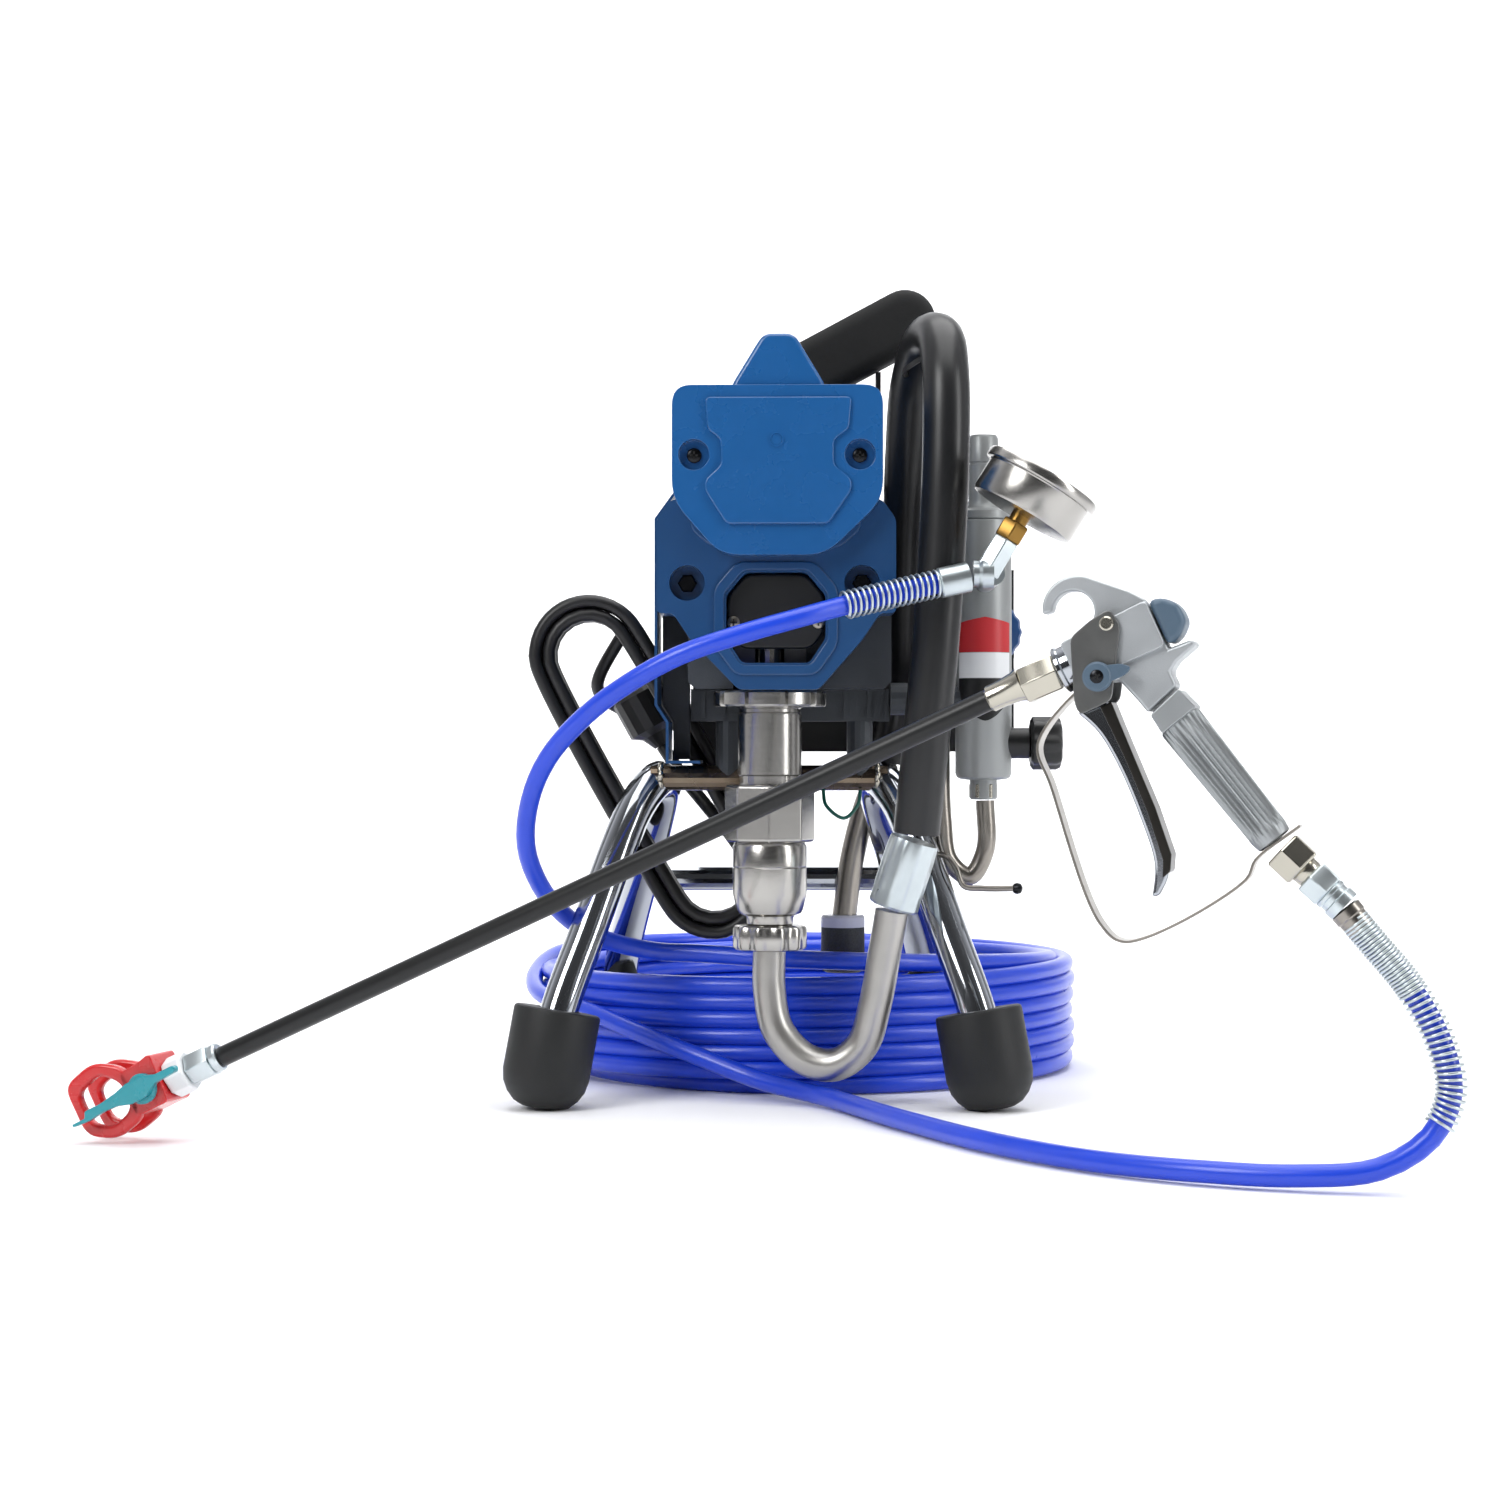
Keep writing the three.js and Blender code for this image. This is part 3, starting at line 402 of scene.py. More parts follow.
def coil_points():
    """The floor coil: down the inner column, across at the bottom, up the outer one."""
    start, finish = math.radians(-112), math.radians(150) + 12 * 2 * math.pi
    inner, outer = 154.6, 166.4
    rows, bottom, crossing = 6, 5.7, 0.7
    down = rows * 2 * math.pi
    out = []
    n = 330
    for i in range(1, n):
        a = start + (finish - start) * i / n
        t = a - start
        if t < down:
            z = bottom + ROW * rows * (1 - t / down)
            r = inner
        else:
            u = t - down
            z = bottom + ROW * rows * min(1.0, max(0.0, (u - crossing) / (finish - start - down - crossing)))
            r = inner + (outer - inner) * min(1.0, u / crossing)
        lift = max(0.0, 1 - t / 2.2)
        z += 11.2 * lift
        r += 9.0 * lift
        r += 2.6 * math.sin(2 * a + 0.4) + 1.2 * math.sin(3 * a + 1.0) + 0.8 * math.sin(2.3 * a)
        z += 0.2 * math.sin(3.1 * a + 1.0)
        out.append((COIL_X + r * math.cos(a), COIL_Y + r * math.sin(a), z))
    off = []
    for deg, rr, zz in ((166, 169.5, 69.5), (184, 175.5, 61), (197, 179.5, 54)):
        a = math.radians(deg)
        off.append((COIL_X + rr * math.cos(a), COIL_Y + rr * math.sin(a), zz))
    return out + off


def paint_hose():
    route = smooth_path(HOSE_A + coil_points() + HOSE_B, step=7.0)
    hose = curve(
        "paint_hose", route, HOSE_D / 2, "hose", nodes=("paint_hose_a", "paint_hose_coil", "paint_hose_b"),
    )


SUCTION = [
    (84.8, -4.3, 158.2), (89.3, -10, 205), (94.7, -14, 261), (98.6, -16, 318), (100.8, -16, 374),
    (101, -10, 417), (99, 8, 440), (92, 36, 443), (85, 60, 420), (82.5, 72, 383), (81.4, 84, 342),
    (80.6, 96, 295), (79.5, 109, 235), (72.6, 117.5, 200),
]


def suction_hose():
    route = smooth_path(SUCTION, step=6.0)
    hose = curve("suction_line", route, SUCTION_D / 2, "suction", nodes=("suction_hose",), sides=9)


LEAD = [(-58, 160, 226), (-72, 158, 225), (-92, 140, 230), (-106, 118, 244)]
HANK_A, HANK_B = Vector((-108, 262)), Vector((-33, 128))


def mains_lead():
    along = (HANK_B - HANK_A).normalized()
    side = Vector((-along.y, along.x))
    turns = []
    layers = [(92, 32), (84, 32), (76, 32), (76, 24), (84, 24), (92, 24)]
    n = 20
    for k, (deep, wide) in enumerate(layers):
        next_deep, next_wide = layers[min(k + 1, len(layers) - 1)]
        for i in range(n):
            t = i / n
            shift = max(0.0, (t - 0.7) / 0.3)
            y, half = deep + (next_deep - deep) * shift, wide + (next_wide - wide) * shift
            a = math.pi * (t % 0.5) * 2
            if t < 0.5:
                p = HANK_A + (side * math.cos(a) - along * math.sin(a)) * half
            else:
                p = HANK_B + (along * math.sin(a) - side * math.cos(a)) * half
            turns.append((p.x, y, p.y))
    first = turns[0]
    route = smooth_path(LEAD + [(first[0] - 6, 100, first[2] + 4)] + turns[1:], step=4.0)
    leave, enter = Vector(turns[-1]), Vector((-66, 114, 207.6))
    run = Vector((-along.x, 0, -along.y))
    reach = (enter - leave).dot(run)
    cross = (enter - leave) - run * reach
    tail = [leave + run * reach * t + cross * t * t * (3 - 2 * t) for t in (0.25, 0.5, 0.75, 1.0)]
    route = route[:-1] + smooth_path([route[-1], *tail], step=4.0)
    lead = curve(
        "mains_lead", route, LEAD_D / 2, "lead", nodes=("power_cord_lead", "power_cord_hank"), sides=4,
    )
    relief = [LEAD_D / 2 * (1.9 - 0.09 * k - (0.12 if k % 2 else 0.0)) for k in range(9)]
    taper("lead_boot", route[:9], relief, "black")


paint_hose()
suction_hose()
mains_lead()


# ---------- stage ----------
def stage():
    bm = bmesh.new()
    half, back, radius, top = 6.0, 2.6, 1.2, 4.5
    line = [(-4.0, 0.0), (back - radius, 0.0)]
    line += [
        (back - radius + radius * math.sin(a), radius - radius * math.cos(a))
        for a in (math.pi / 2 * k / 12 for k in range(1, 13))
    ]
    line.append((back, top))
    rows = [[bm.verts.new((x, y, z)) for x in (-half, half)] for y, z in line]
    for a, b in zip(rows, rows[1:]):
        bm.faces.new((a[0], a[1], b[1], b[0]))
    mesh = bpy.data.meshes.new("backdrop")
    bm.to_mesh(mesh)
    bm.free()
    for face in mesh.polygons:
        face.use_smooth = True
    floor = bpy.data.objects.new("backdrop", mesh)
    mat = bpy.data.materials.new("backdrop")
    mat.use_nodes = True
    shader = mat.node_tree.nodes["Principled BSDF"]
    shader.inputs["Base Color"].default_value = (0.93, 0.935, 0.95, 1)
    shader.inputs["Roughness"].default_value = 0.9
    mesh.materials.append(mat)
    bpy.context.scene.collection.objects.link(floor)


def area(name, spot, target, size, power):
    data = bpy.data.lights.new(name, "AREA")
    data.shape = "RECTANGLE"
    data.size, data.size_y = size
    data.energy = power
    lamp = bpy.data.objects.new(name, data)
    lamp.location = spot
    lamp.rotation_euler = (Vector(target) - Vector(spot)).to_track_quat("-Z", "Y").to_euler()
    bpy.context.scene.collection.objects.link(lamp)


def lights():
    bpy.context.scene.view_settings.view_transform = "Standard"
    world = bpy.data.worlds.new("studio")
    bpy.context.scene.world = world
    world.use_nodes = True
    nodes, links = world.node_tree.nodes, world.node_tree.links
    coords = nodes.new("ShaderNodeTexCoord")
    split = nodes.new("ShaderNodeSeparateXYZ")
    links.new(coords.outputs["Generated"], split.inputs["Vector"])
    ramp = nodes.new("ShaderNodeValToRGB")
    stops = ((0.0, 0.06), (0.3, 0.16), (0.5, 0.5), (0.62, 1.0), (1.0, 1.0))
    ramp.color_ramp.elements[0].position = 0.0
    while len(ramp.color_ramp.elements) < len(stops):
        ramp.color_ramp.elements.new(0.5)
    for element, (spot_at, grey) in zip(ramp.color_ramp.elements, stops):
        element.position = spot_at
        element.color = (grey, grey, grey * 1.03, 1)
    spread = nodes.new("ShaderNodeMapRange")
    spread.inputs["From Min"].default_value = -1.0
    links.new(split.outputs["Y"], spread.inputs["Value"])
    links.new(spread.outputs["Result"], ramp.inputs["Fac"])
    links.new(ramp.outputs["Color"], nodes["Background"].inputs["Color"])
    nodes["Background"].inputs["Strength"].default_value = 0.9
    area("key", (-1.3, -1.5, 1.5), (0, 0, 0.2), (0.9, 1.1), 30)
    area("top", (0.2, 0.0, 2.2), (0, 0, 0.1), (2.6, 2.0), 46)
    area("side", (1.8, -0.9, 0.9), (0, 0, 0.25), (0.35, 1.5), 15)
    area("back", (0.0, 0.9, 1.7), (0, 2.6, 0.9), (4.0, 1.4), 60)


stage()
lights()

# ---------- carried-over CAD nodes ----------
CARRIED = {
    "crossbar_front": "bar", "crossbar_rear": "chrome", "gearbox_housing": "casting",
    "crank_gear": "gear", "motor_rotor": "gear", "motor_shroud": "housing", "handle_bracket": "black_metal",
    "pump_rod": "pump", "pump_cylinder": "pump", "filter_arm": "casting", "gauge_needle": "black",
    "control_box": "black", "power_switch": "black", "motor_housing": "casting", "rod_cover": "black",
    "power_cord_plug": "lead",     "trigger_lock": "grey_blue", "trigger": "chrome", "gun_body": "gun",
}
for node, mat_name in CARRIED.items():
    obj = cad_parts[node]
    if not obj.material_slots:
        obj.data.materials.append(M[mat_name])
    for slot in obj.material_slots:
        slot.material = M[mat_name]


# ---------- stand ----------
def leg_path(side):
    return [
        (side * 127, 0.5, 22), (side * 119, 5, 57), (side * 105.5, 20, 96), (side * 78, 55, 172),
        (side * 67, 68, 187), (side * 64, 82, 185), (side * 72, 118, 153), (side * 98, 219, 65),
        (side * 100.5, 227, 22),
    ]


def bead(name, centre, radius, mat="nickel"):
    """A lumpy weld bead round a joint."""
    ring = []
    for i in range(48):
        a = 2 * math.pi * i / 48
        wob = 0.5 * math.sin(7 * a) + 0.4 * math.sin(11 * a + 1)
        ring.append(
            (
                centre[0] + wob * 0.4, centre[1] + (radius + wob) * math.cos(a),
                centre[2] + (radius + wob) * math.sin(a),
            ),
        )
    curve(name, ring, 1.7, mat, closed=True, sides=3)


def stand():
    for name, side in (("left", -1), ("right", 1)):
        curve(
            f"leg_{name}", smooth_path(leg_path(side), 3.0), 11, "chrome", nodes=(f"frame_{name}",),
            sides=14,
        )
        bead(f"weld_{name}", (side * 64, 62, 188.5), 8.0)
        for where, y, lean in (("front", 0, (10, 4)), ("rear", 228, (2, -4))):
            k = 23.5 / 25 if y else 1.0
            profile = [
                (4, 0.4), (11, 0.9), (16, 3.0), (20.5, 7.5), (23.6, 13), (25, 20), (25, 55), (24.6, 56.6),
                (23.4, 57.4), (12, 57.6), (11.4, 56),
            ]
            foot = (side * (101 if y else 130), y, 0)
            axis = (-side * lean[0], lean[1], 57)
            turned(f"boot_{where}_{name}", [(r * k, h) for r, h in profile], "boot", base=foot, axis=axis,
                   nodes=(f"foot_{where}_{name}",))
    hook = [(90, 42, 144), (104, 30, 143), (109, 26, 136), (113, 25, 126.5), (124, 25, 125), (143, 25, 125)]
    curve("pail_hook", smooth_path(hook, 2.0), 1.75, "dull", sides=5)
    turned(
        "pail_hook_end", [(1.2, -3), (2.8, -2), (3.4, 0), (2.8, 2), (1.2, 3)], "screw", base=(144, 25, 125),
        axis=(1, 0, 0), sides=32,
    )


# ---------- front shells ----------
def screw(name, base, axis, r, mat="screw", body="machine", place=MACHINE):
    """Pan-head cross-recess screw; its recess is two flat black quads on the head, painted shade standing in
    for the hollow.
    """
    bm = bmesh.new()
    add_turned(bm, [(r, -2), (r, 0.2), (r * 0.93, 0.9), (r * 0.6, 1.5)], base, axis, 32)
    put(name, bm, mat, body, place=place, bevel=0.0)
    m = frame_for(base, axis)
    # Cross recess: flat black quads laid on the head top, painted shade in place of the hollow's own shade.
    bm = bmesh.new()
    for w, h in ((0.14, 0.55), (0.55, 0.14)):
        q = [m @ Vector((a * r * w, b * r * h, 1.56)) for a, b in ((-1, -1), (1, -1), (1, 1), (-1, 1))]
        bm.faces.new([bm.verts.new(p) for p in q])
    put(name + "_slot", bm, "black", body, place=place)


def front_shells():
    lining = [(-56.5, 199.5), (-46.5, 199.5), (-46.5, 335), (-62.8, 335), (-62.8, 231.5), (-56.5, 221.5)]
    slab("shroud_lining", lining, 57, 60, "casting", bevel=0.6)
    outline = [(-53, 409), (65, 409), (65, 345), (33, 314), (-26, 314), (-53, 345)]
    cover = slab(
        "cover_shell", rounded(outline, 11, 6), -34, 13.8, "cover", nodes=("front_cover",), bevel=4.5,
        segments=5,
    )
    low = lambda bm: add_slab(bm, [(-80, 300), (90, 300), (90, 346.4), (-80, 346.4)], -22.2, 40)
    pockets = [
        lambda bm, x=x: add_turned(bm, [(8.6, 0), (8.6, 30)], (x, -27, 370), (0, -1, 0), 40)
        for x in (-40.7, 52.2)
    ]
    carve(cover, low, *pockets)
    tab = rounded([(-22, 398), (-20, 409), (-2, 438.3), (15.4, 438.3), (33, 409), (35, 398)], 5, 5)
    slab("cover_tab", tab, -31, -14, "cover", bevel=3.5, segments=4)
    panel = rounded(
        [
            (-34.5, 402), (47.5, 402), (46, 384), (37.5, 378), (37.5, 364), (47.3, 356), (47.5, 350),
            (34.5, 331), (-22.5, 331), (-34.5, 350), (-34.3, 356), (-25.5, 364), (-25.5, 378), (-33, 384),
        ],
        3, 4,
    )
    slab("cover_panel", panel, -36.4, -30, "cover", bevel=1.6, segments=3)
    turned(
        "cover_mark", [(4.2, 0), (4.2, 0.7), (3.4, 0.7), (3.2, 0.2)], "cover", base=(5.6, -36.3, 378),
        axis=(0, -1, 0), sides=40,
    )
    for i, x in enumerate((-40.7, 52.2)):
        screw(f"cover_screw_{i}", (x, -27.5, 370), (0, -1, 0), 4.2)
    housing = [
        (-54, 346), (-62, 335), (-62, 282), (-53, 282), (-43, 267), (-16, 239),
        (29, 239), (53.6, 267), (63.6, 282), (72.6, 282), (72.6, 335), (64.6, 346),
    ]
    shell = slab(
        "housing_shell", rounded(housing, 3, 3), -21.8, 13.8, "housing", nodes=("front_housing",),
        bevel=2.6, segments=4,
    )
    octagon = rounded(
        [(-23, 268), (-14, 254), (24, 254), (33, 268), (33, 292), (22, 305), (-12, 305), (-23, 292)], 2.5,
        3,
    )
    cuts = [lambda bm: add_slab(bm, octagon, -60, 60)]
    cuts += [
        lambda bm, x=x: add_turned(bm, [(10, 0), (10, 12)], (x, -12, 299), (0, -1, 0), 40)
        for x in (-45, 53.5)
    ]
    carve(shell, *cuts)
    ring = rounded(
        [(-30, 264), (-18, 247), (28, 247), (40, 264), (40, 296), (27, 311), (-17, 311), (-30, 296)], 5, 4,
    )
    hole = rounded(
        [(-24, 267), (-14.5, 253), (24.5, 253), (34, 267), (34, 293), (23, 306), (-13, 306), (-24, 293)], 3,
        4,
    )
    rim = slab("housing_rim", ring, -23.6, -20, "housing", bevel=1.0)
    carve(rim, lambda bm: add_slab(bm, hole, -60, 60))
    slab(
        "housing_step",
        rounded([(-44, 330), (-30, 318), (40, 318), (54, 330), (50, 346), (-40, 346)], 6, 4), -23, -20,
        "housing", bevel=1.0,
    )
    slab(
        "rod_plate",
        rounded(
            [
                (-22.4, 272), (-15, 262.3), (25, 262.3), (32.4, 272), (32.4, 292), (22, 304.4),
                (-12, 304.4), (-22.4, 292),
            ],
            5, 4,
        ),
        -14.6, -8, "black", nodes=("rod_cover",), bevel=1.6,
    )
    for i, x in enumerate((-19, 29)):
        screw(f"rod_screw_{i}", (x, -14.8, 277), (0, -1, 0), 3.6, "dull")
    for i, x in enumerate((-45, 53.5)):
        turned(
            f"housing_bolt_{i}", [(5.4, 0), (5.4, 4), (4.6, 4.8)], "screw", base=(x, -12, 299),
            axis=(0, -1, 0), sides=6, angle=20,
        )


# ---------- fluid section ----------
def hexagon(name, r, a, b, mat, body="machine", place=MACHINE, nodes=(), sides=6, bevel=0.7):
    a, b = Vector(a), Vector(b)
    length = (b - a).length
    return turned(
        name,
        [
            (r * 0.94, 0), (r, min(1.2, length * 0.1)), (r, length - min(1.2, length * 0.1)),
            (r * 0.94, length),
        ],
        mat, base=a, axis=b - a, sides=sides, body=body, place=place, nodes=nodes, bevel=bevel, angle=25,
    )


def pump():
    base = (PUMP_X, PUMP_Y, 0)
    bm = bmesh.new()
    sides = 200
    rings = []
    for h, r in ((230, 31.6), (231, 32.5), (237.7, 32.5), (238.7, 31.6)):
        ring = []
        for i in range(sides):
            a = 2 * math.pi * i / sides
            notch = 3.0 if math.cos(10 * a + 0.4) > 0.82 else 0.0
            ring.append(
                bm.verts.new((PUMP_X + (r - notch) * math.cos(a), PUMP_Y + (r - notch) * math.sin(a), h)),
            )
        rings.append(ring)
    for a, b in zip(rings, rings[1:]):
        for i in range(sides):
            bm.faces.new((a[i], a[(i + 1) % sides], b[(i + 1) % sides], b[i]))
    bm.faces.new(list(reversed(rings[0])))
    bm.faces.new(rings[-1])
    put("jam_ring", bm, "pump", nodes=("jam_nut",))
    turned(
        "pump_barrel",
        [
            (17.4, 185.4), (17.4, 190), (18.5, 191), (18.5, 225.5), (17.7, 226.2), (17.7, 228.6),
            (18.5, 229.3), (18.5, 230.2),
        ],
        "pump", base=base, sides=96,
    )
    hexagon(
        "pump_block", 26, (PUMP_X, PUMP_Y, 152), (PUMP_X, PUMP_Y, 185), "pump", nodes=("pump_body",),
        sides=8, bevel=2.2,
    )
    turned("pump_block_neck", [(18, 183), (18, 186)], "pump", base=base)
    turned(
        "intake_valve",
        [
            (13, 104.4), (13.6, 105), (13.6, 108), (14.2, 109.5), (18, 111), (19.2, 113), (21.4, 122),
            (21.4, 137), (21.0, 137.6), (21.4, 138.2), (21.4, 149.4), (20.2, 151.6),
        ],
        "pump", base=base, nodes=("foot_valve",), sides=96,
    )
    turned(
        "intake_nut", [(18.8, 89.6), (20.6, 90.4), (21.4, 91.8), (21.4, 102), (20.6, 103.4), (18.8, 104.1)],
        "pump", base=base, nodes=("swivel_nut",), sides=160, waves=10, depth=1.8,
    )


PIPE = [
    (0.8, 20, 89.2), (0.8, 19.6, 66.5), (5.8, 18, 43.6), (21.4, 14, 27.4), (38.6, 10, 24.6),
    (54, 7, 36.2), (61.3, 4, 59.4), (67, 2, 90.9), (70.8, 0.2, 113.4),
]
PICKUP = [(71.4, 119.5, 197), (62, 127, 180), (51, 131, 142), (44.5, 131, 96)]


def suction_parts():
    curve("intake_pipe", smooth_path(PIPE, 2.5), 9.5, "tube", nodes=("suction_tube",), sides=12)
    a, b = Vector((71.4, 0, 115.6)), Vector((83.7, -3.8, 153.8))
    turned(
        "hose_sleeve",
        [(13.4, 0), (14.5, 1.4), (14.2, 9), (14.5, 11), (14.5, 30), (14.1, 38), (13.7, 40.2)], "zinc",
        base=a, axis=b - a, nodes=("suction_coupling",), sides=120, waves=10, depth=0.55,
    )
    curve("pickup_pipe", smooth_path(PICKUP, 2.5), 7.5, "dull", nodes=("strainer_tube",), sides=10)
    x, y, _ = PICKUP[3]
    turned(
        "strainer_bag", [(10.5, 68.2), (12.6, 69.5), (13.4, 74), (13.4, 96), (13.0, 99)], "mesh",
        base=(x, y, 0), nodes=("strainer",),
    )
    turned(
        "strainer_ring", [(13.4, 96), (13.5, 97), (13.5, 102), (12.5, 103.4), (9, 103.8)], "clear",
        base=(x, y, 0),
    )
    strap = []
    for i in range(40):
        t = 2 * math.pi * i / 40
        strap.append((95.5 + 17 * math.cos(t), 24 + 31 * math.sin(t), 431 + 8 * math.cos(t)))
    mesh_strip("hose_tie", strap, 3.2, "black")


def mesh_strip(name, ring, width, mat):
    """Thin closed band following a ring of points, width along z."""
    bm = bmesh.new()
    centre = sum((Vector(p) for p in ring), Vector()) / len(ring)
    rows = []
    for p in ring:
        p = Vector(p)
        out = (p - centre)
        out.z = 0
        out.normalize()
        rows.append(
            [
                bm.verts.new(p + out * d + Vector((0, 0, z)))
                for d, z in ((0, -width / 2), (0, width / 2), (0.9, width / 2), (0.9, -width / 2))
            ],
        )
    n = len(rows)
    for i in range(n):
        a, b = rows[i], rows[(i + 1) % n]
        for k in range(4):
            bm.faces.new((a[k], a[(k + 1) % 4], b[(k + 1) % 4], b[k]))
    put(name, bm, mat)


def filter_parts():
    base = (FILTER_X, FILTER_Y, 0)
    turned(
        "filter_bowl",
        [
            (7.2, 176), (8, 177), (8, 187.4), (13.4, 188), (15.6, 189), (16.5, 191.5), (16.5, 338),
            (16.2, 339.4),
        ],
        "filter", base=base, nodes=("filter_housing",), sides=96,
    )
    hexagon("filter_foot", 8.6, (FILTER_X, FILTER_Y, 176.5), (FILTER_X, FILTER_Y, 185.5), "nickel")
    turned(
        "filter_valve_boss", [(9, 13), (9, 26.4), (8.4, 27)], "black", base=(FILTER_X, FILTER_Y, 209),
        axis=(1, 0, 0),
    )
    turned(
        "filter_top",
        [
            (15.4, 339.8), (16, 340.6), (16, 344.6), (14.4, 345.4), (10.6, 346.6), (9.4, 348.6), (8.8, 351),
            (8.8, 372), (8.3, 372.4), (8.3, 373.4), (8.8, 373.8), (8.8, 387.6), (7.6, 389.6),
        ],
        "filter", base=base, nodes=("filter_cap",), sides=80,
    )
    for i, (z0, z1, mat) in enumerate(
        ((262, 279, "label_red"), (247, 261.7, "white"), (222, 246.7, "black")),
    ):
        label(f"filter_label_{i}", z0, z1, mat)
    turned(
        "prime_dial", [(13.4, 0), (15.6, 1.6), (15.6, 15), (14.4, 17.6), (12, 18.4)], "black",
        base=(FILTER_X + 27.3, FILTER_Y, 209), axis=(1, 0, 0), body="prime_knob", nodes=("prime_knob",),
        sides=160, waves=8, depth=1.5,
    )
    turned(
        "pressure_dial", [(17.4, 0), (19, 1.4), (19, 13), (17.6, 15.4), (14, 16)], "knob_blue",
        base=(135, 133.7, 277), axis=(0, -1, 0), body="pressure_knob", nodes=("pressure_knob",), sides=160,
        waves=16, depth=0.8,
    )
    drain = [
        (127, 50, 175.4), (127, 50, 146), (118, 50, 131), (106, 50, 140), (102, 50, 165),
        (100.6, 50, 224.6),
    ]
    curve("outlet_pipe", smooth_path(drain, 2.0), 5.5, "dull", nodes=("pressure_tube",), sides=9)


def label(name, z0, z1, mat):
    """A shield-shaped band wrapped on the bowl, facing the front."""
    bm = bmesh.new()
    r = 16.62
    n = 22
    rows = []
    for z in (z0, z1):
        row = []
        for i in range(n + 1):
            a = math.radians(-90 - 62 + 124 * i / n)
            k = abs(i / n - 0.5) * 2
            drop = z
            if mat == "black" and z == z0:
                drop = z0 + 15 * k ** 1.6
            if mat == "label_red" and z == z1:
                drop = z1 + 3.5 * (1 - k)
            row.append(bm.verts.new((FILTER_X + r * math.cos(a), FILTER_Y + r * math.sin(a), drop)))
        rows.append(row)
    for i in range(n):
        bm.faces.new((rows[0][i], rows[0][i + 1], rows[1][i + 1], rows[1][i]))
    put(name, bm, mat)


def spot(d):
    return GAUGE_AT + GAUGE_DIR * d


def gauge():
    hexagon("gauge_stem", 8.0, spot(-14), spot(8), "zinc", nodes=("gauge_tee",))
    hexagon("gauge_adapter", 8.4, spot(8), spot(19), "brass")
    turned("gauge_neck", [(5.4, 18), (5.4, GAUGE_BACK + 1)], "brass", base=GAUGE_AT, axis=GAUGE_DIR)
    turned(
        "tee_side", [(8.6, 0), (8.6, 6), (7.2, 8), (7.2, 11)], "zinc", base=(126, -38, GAUGE_Z),
        axis=(-1, 0, 0),
    )
    turned("tee_back", [(6.5, 0), (6.5, 71)], "zinc", base=(FILTER_X, -38, GAUGE_Z), axis=(0, 1, 0))
    back = spot(GAUGE_BACK)
    turned(
        "gauge_can",
        [
            (26, 0), (30, 0.4), (31, 2), (31, 18.6), (31.4, 19.2), (33.4, 19.6), (34, 20.4), (34, 24),
            (33.2, 25.3), (31.6, 25.5), (29.6, 24.4), (29.2, 20.4),
        ],
        "pump", base=back, axis=GAUGE_DIR, nodes=("gauge_case",), sides=96,
    )
    turned("gauge_dial", [(29, 20.0), (29, 20.2)], "white", base=back, axis=GAUGE_DIR, sides=64)
    m = frame_for(back, GAUGE_DIR)
    bm = bmesh.new()
    for i in range(41):
        a = math.radians(-135 + 270 * i / 40)
        long = i % 5 == 0
        r0, r1, w = (22 if long else 24.5), 27, (0.55 if long else 0.28)
        d, s = Vector((math.sin(a), math.cos(a), 0)), Vector((math.cos(a), -math.sin(a), 0))
        quad = [d * r0 - s * w, d * r0 + s * w, d * r1 + s * w, d * r1 - s * w]
        bm.faces.new([bm.verts.new(m @ (q + Vector((0, 0, 20.3)))) for q in quad])
    put("gauge_scale", bm, "black")


def helix(name, centre, r, wire, pitch_at, mat, start=0.0, end=None, place=MACHINE):
    """A wire spring wound round a path; pitch_at(distance) gives the pitch there."""
    total = path_length(centre)
    end = total if end is None else end
    out, s, turn = [], start, 0.0
    step = 2 * math.pi / 18
    marks = [0.0]
    for a, b in zip(centre, centre[1:]):
        marks.append(marks[-1] + (b - a).length)
    up = Vector((0.13, 0.21, 1.0)).normalized()
    k = 0
    while s < end:
        while k < len(marks) - 2 and marks[k + 1] < s:
            k += 1
        t = (s - marks[k]) / (marks[k + 1] - marks[k])
        p = centre[k].lerp(centre[k + 1], t)
        ahead = centre[min(k + 2, len(centre) - 1)] - centre[max(k - 1, 0)]
        ahead.normalize()
        side = ahead.cross(up).normalized()
        top = side.cross(ahead)
        out.append(p + side * r * math.cos(turn) + top * r * math.sin(turn))
        turn += step
        s += pitch_at(s - start) * step / (2 * math.pi)
    return curve(name, out, wire, mat, place=place, sides=2)


def hose_springs():
    first = smooth_path(HOSE_A[:4], 2.0)
    pitch = lambda d: 3.5 if d < 66 else 1.75
    helix("machine_spring", first, 7.4, 0.8, pitch, "zinc", start=14, end=76)
    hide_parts("hose_spring_machine")
    way = first[0] - first[6]
    turned(
        "machine_ferrule", [(6.2, 0), (8.4, 0.8), (8.4, 17), (7.6, 18)], "zinc",
        base=first[0] + way.normalized() * 0.6, axis=-way,
    )
    last = list(reversed(smooth_path(HOSE_B[-7:], 2.0)))
    pitch = lambda d: 1.75 if d < 42 else 3.1
    helix("gun_spring", last, 6.6, 0.8, pitch, "zinc", start=4, end=112)
    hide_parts("hose_spring_gun")
    way = (last[6] - last[0]).normalized()
    cap = [(6.0, -3.5), (7.6, -2.6), (7.6, 1.5), (7.0, 2.2), (7.0, 9.5), (6.2, 10.5)]
    turned("gun_ferrule", cap, "dull", base=last[0], axis=way)


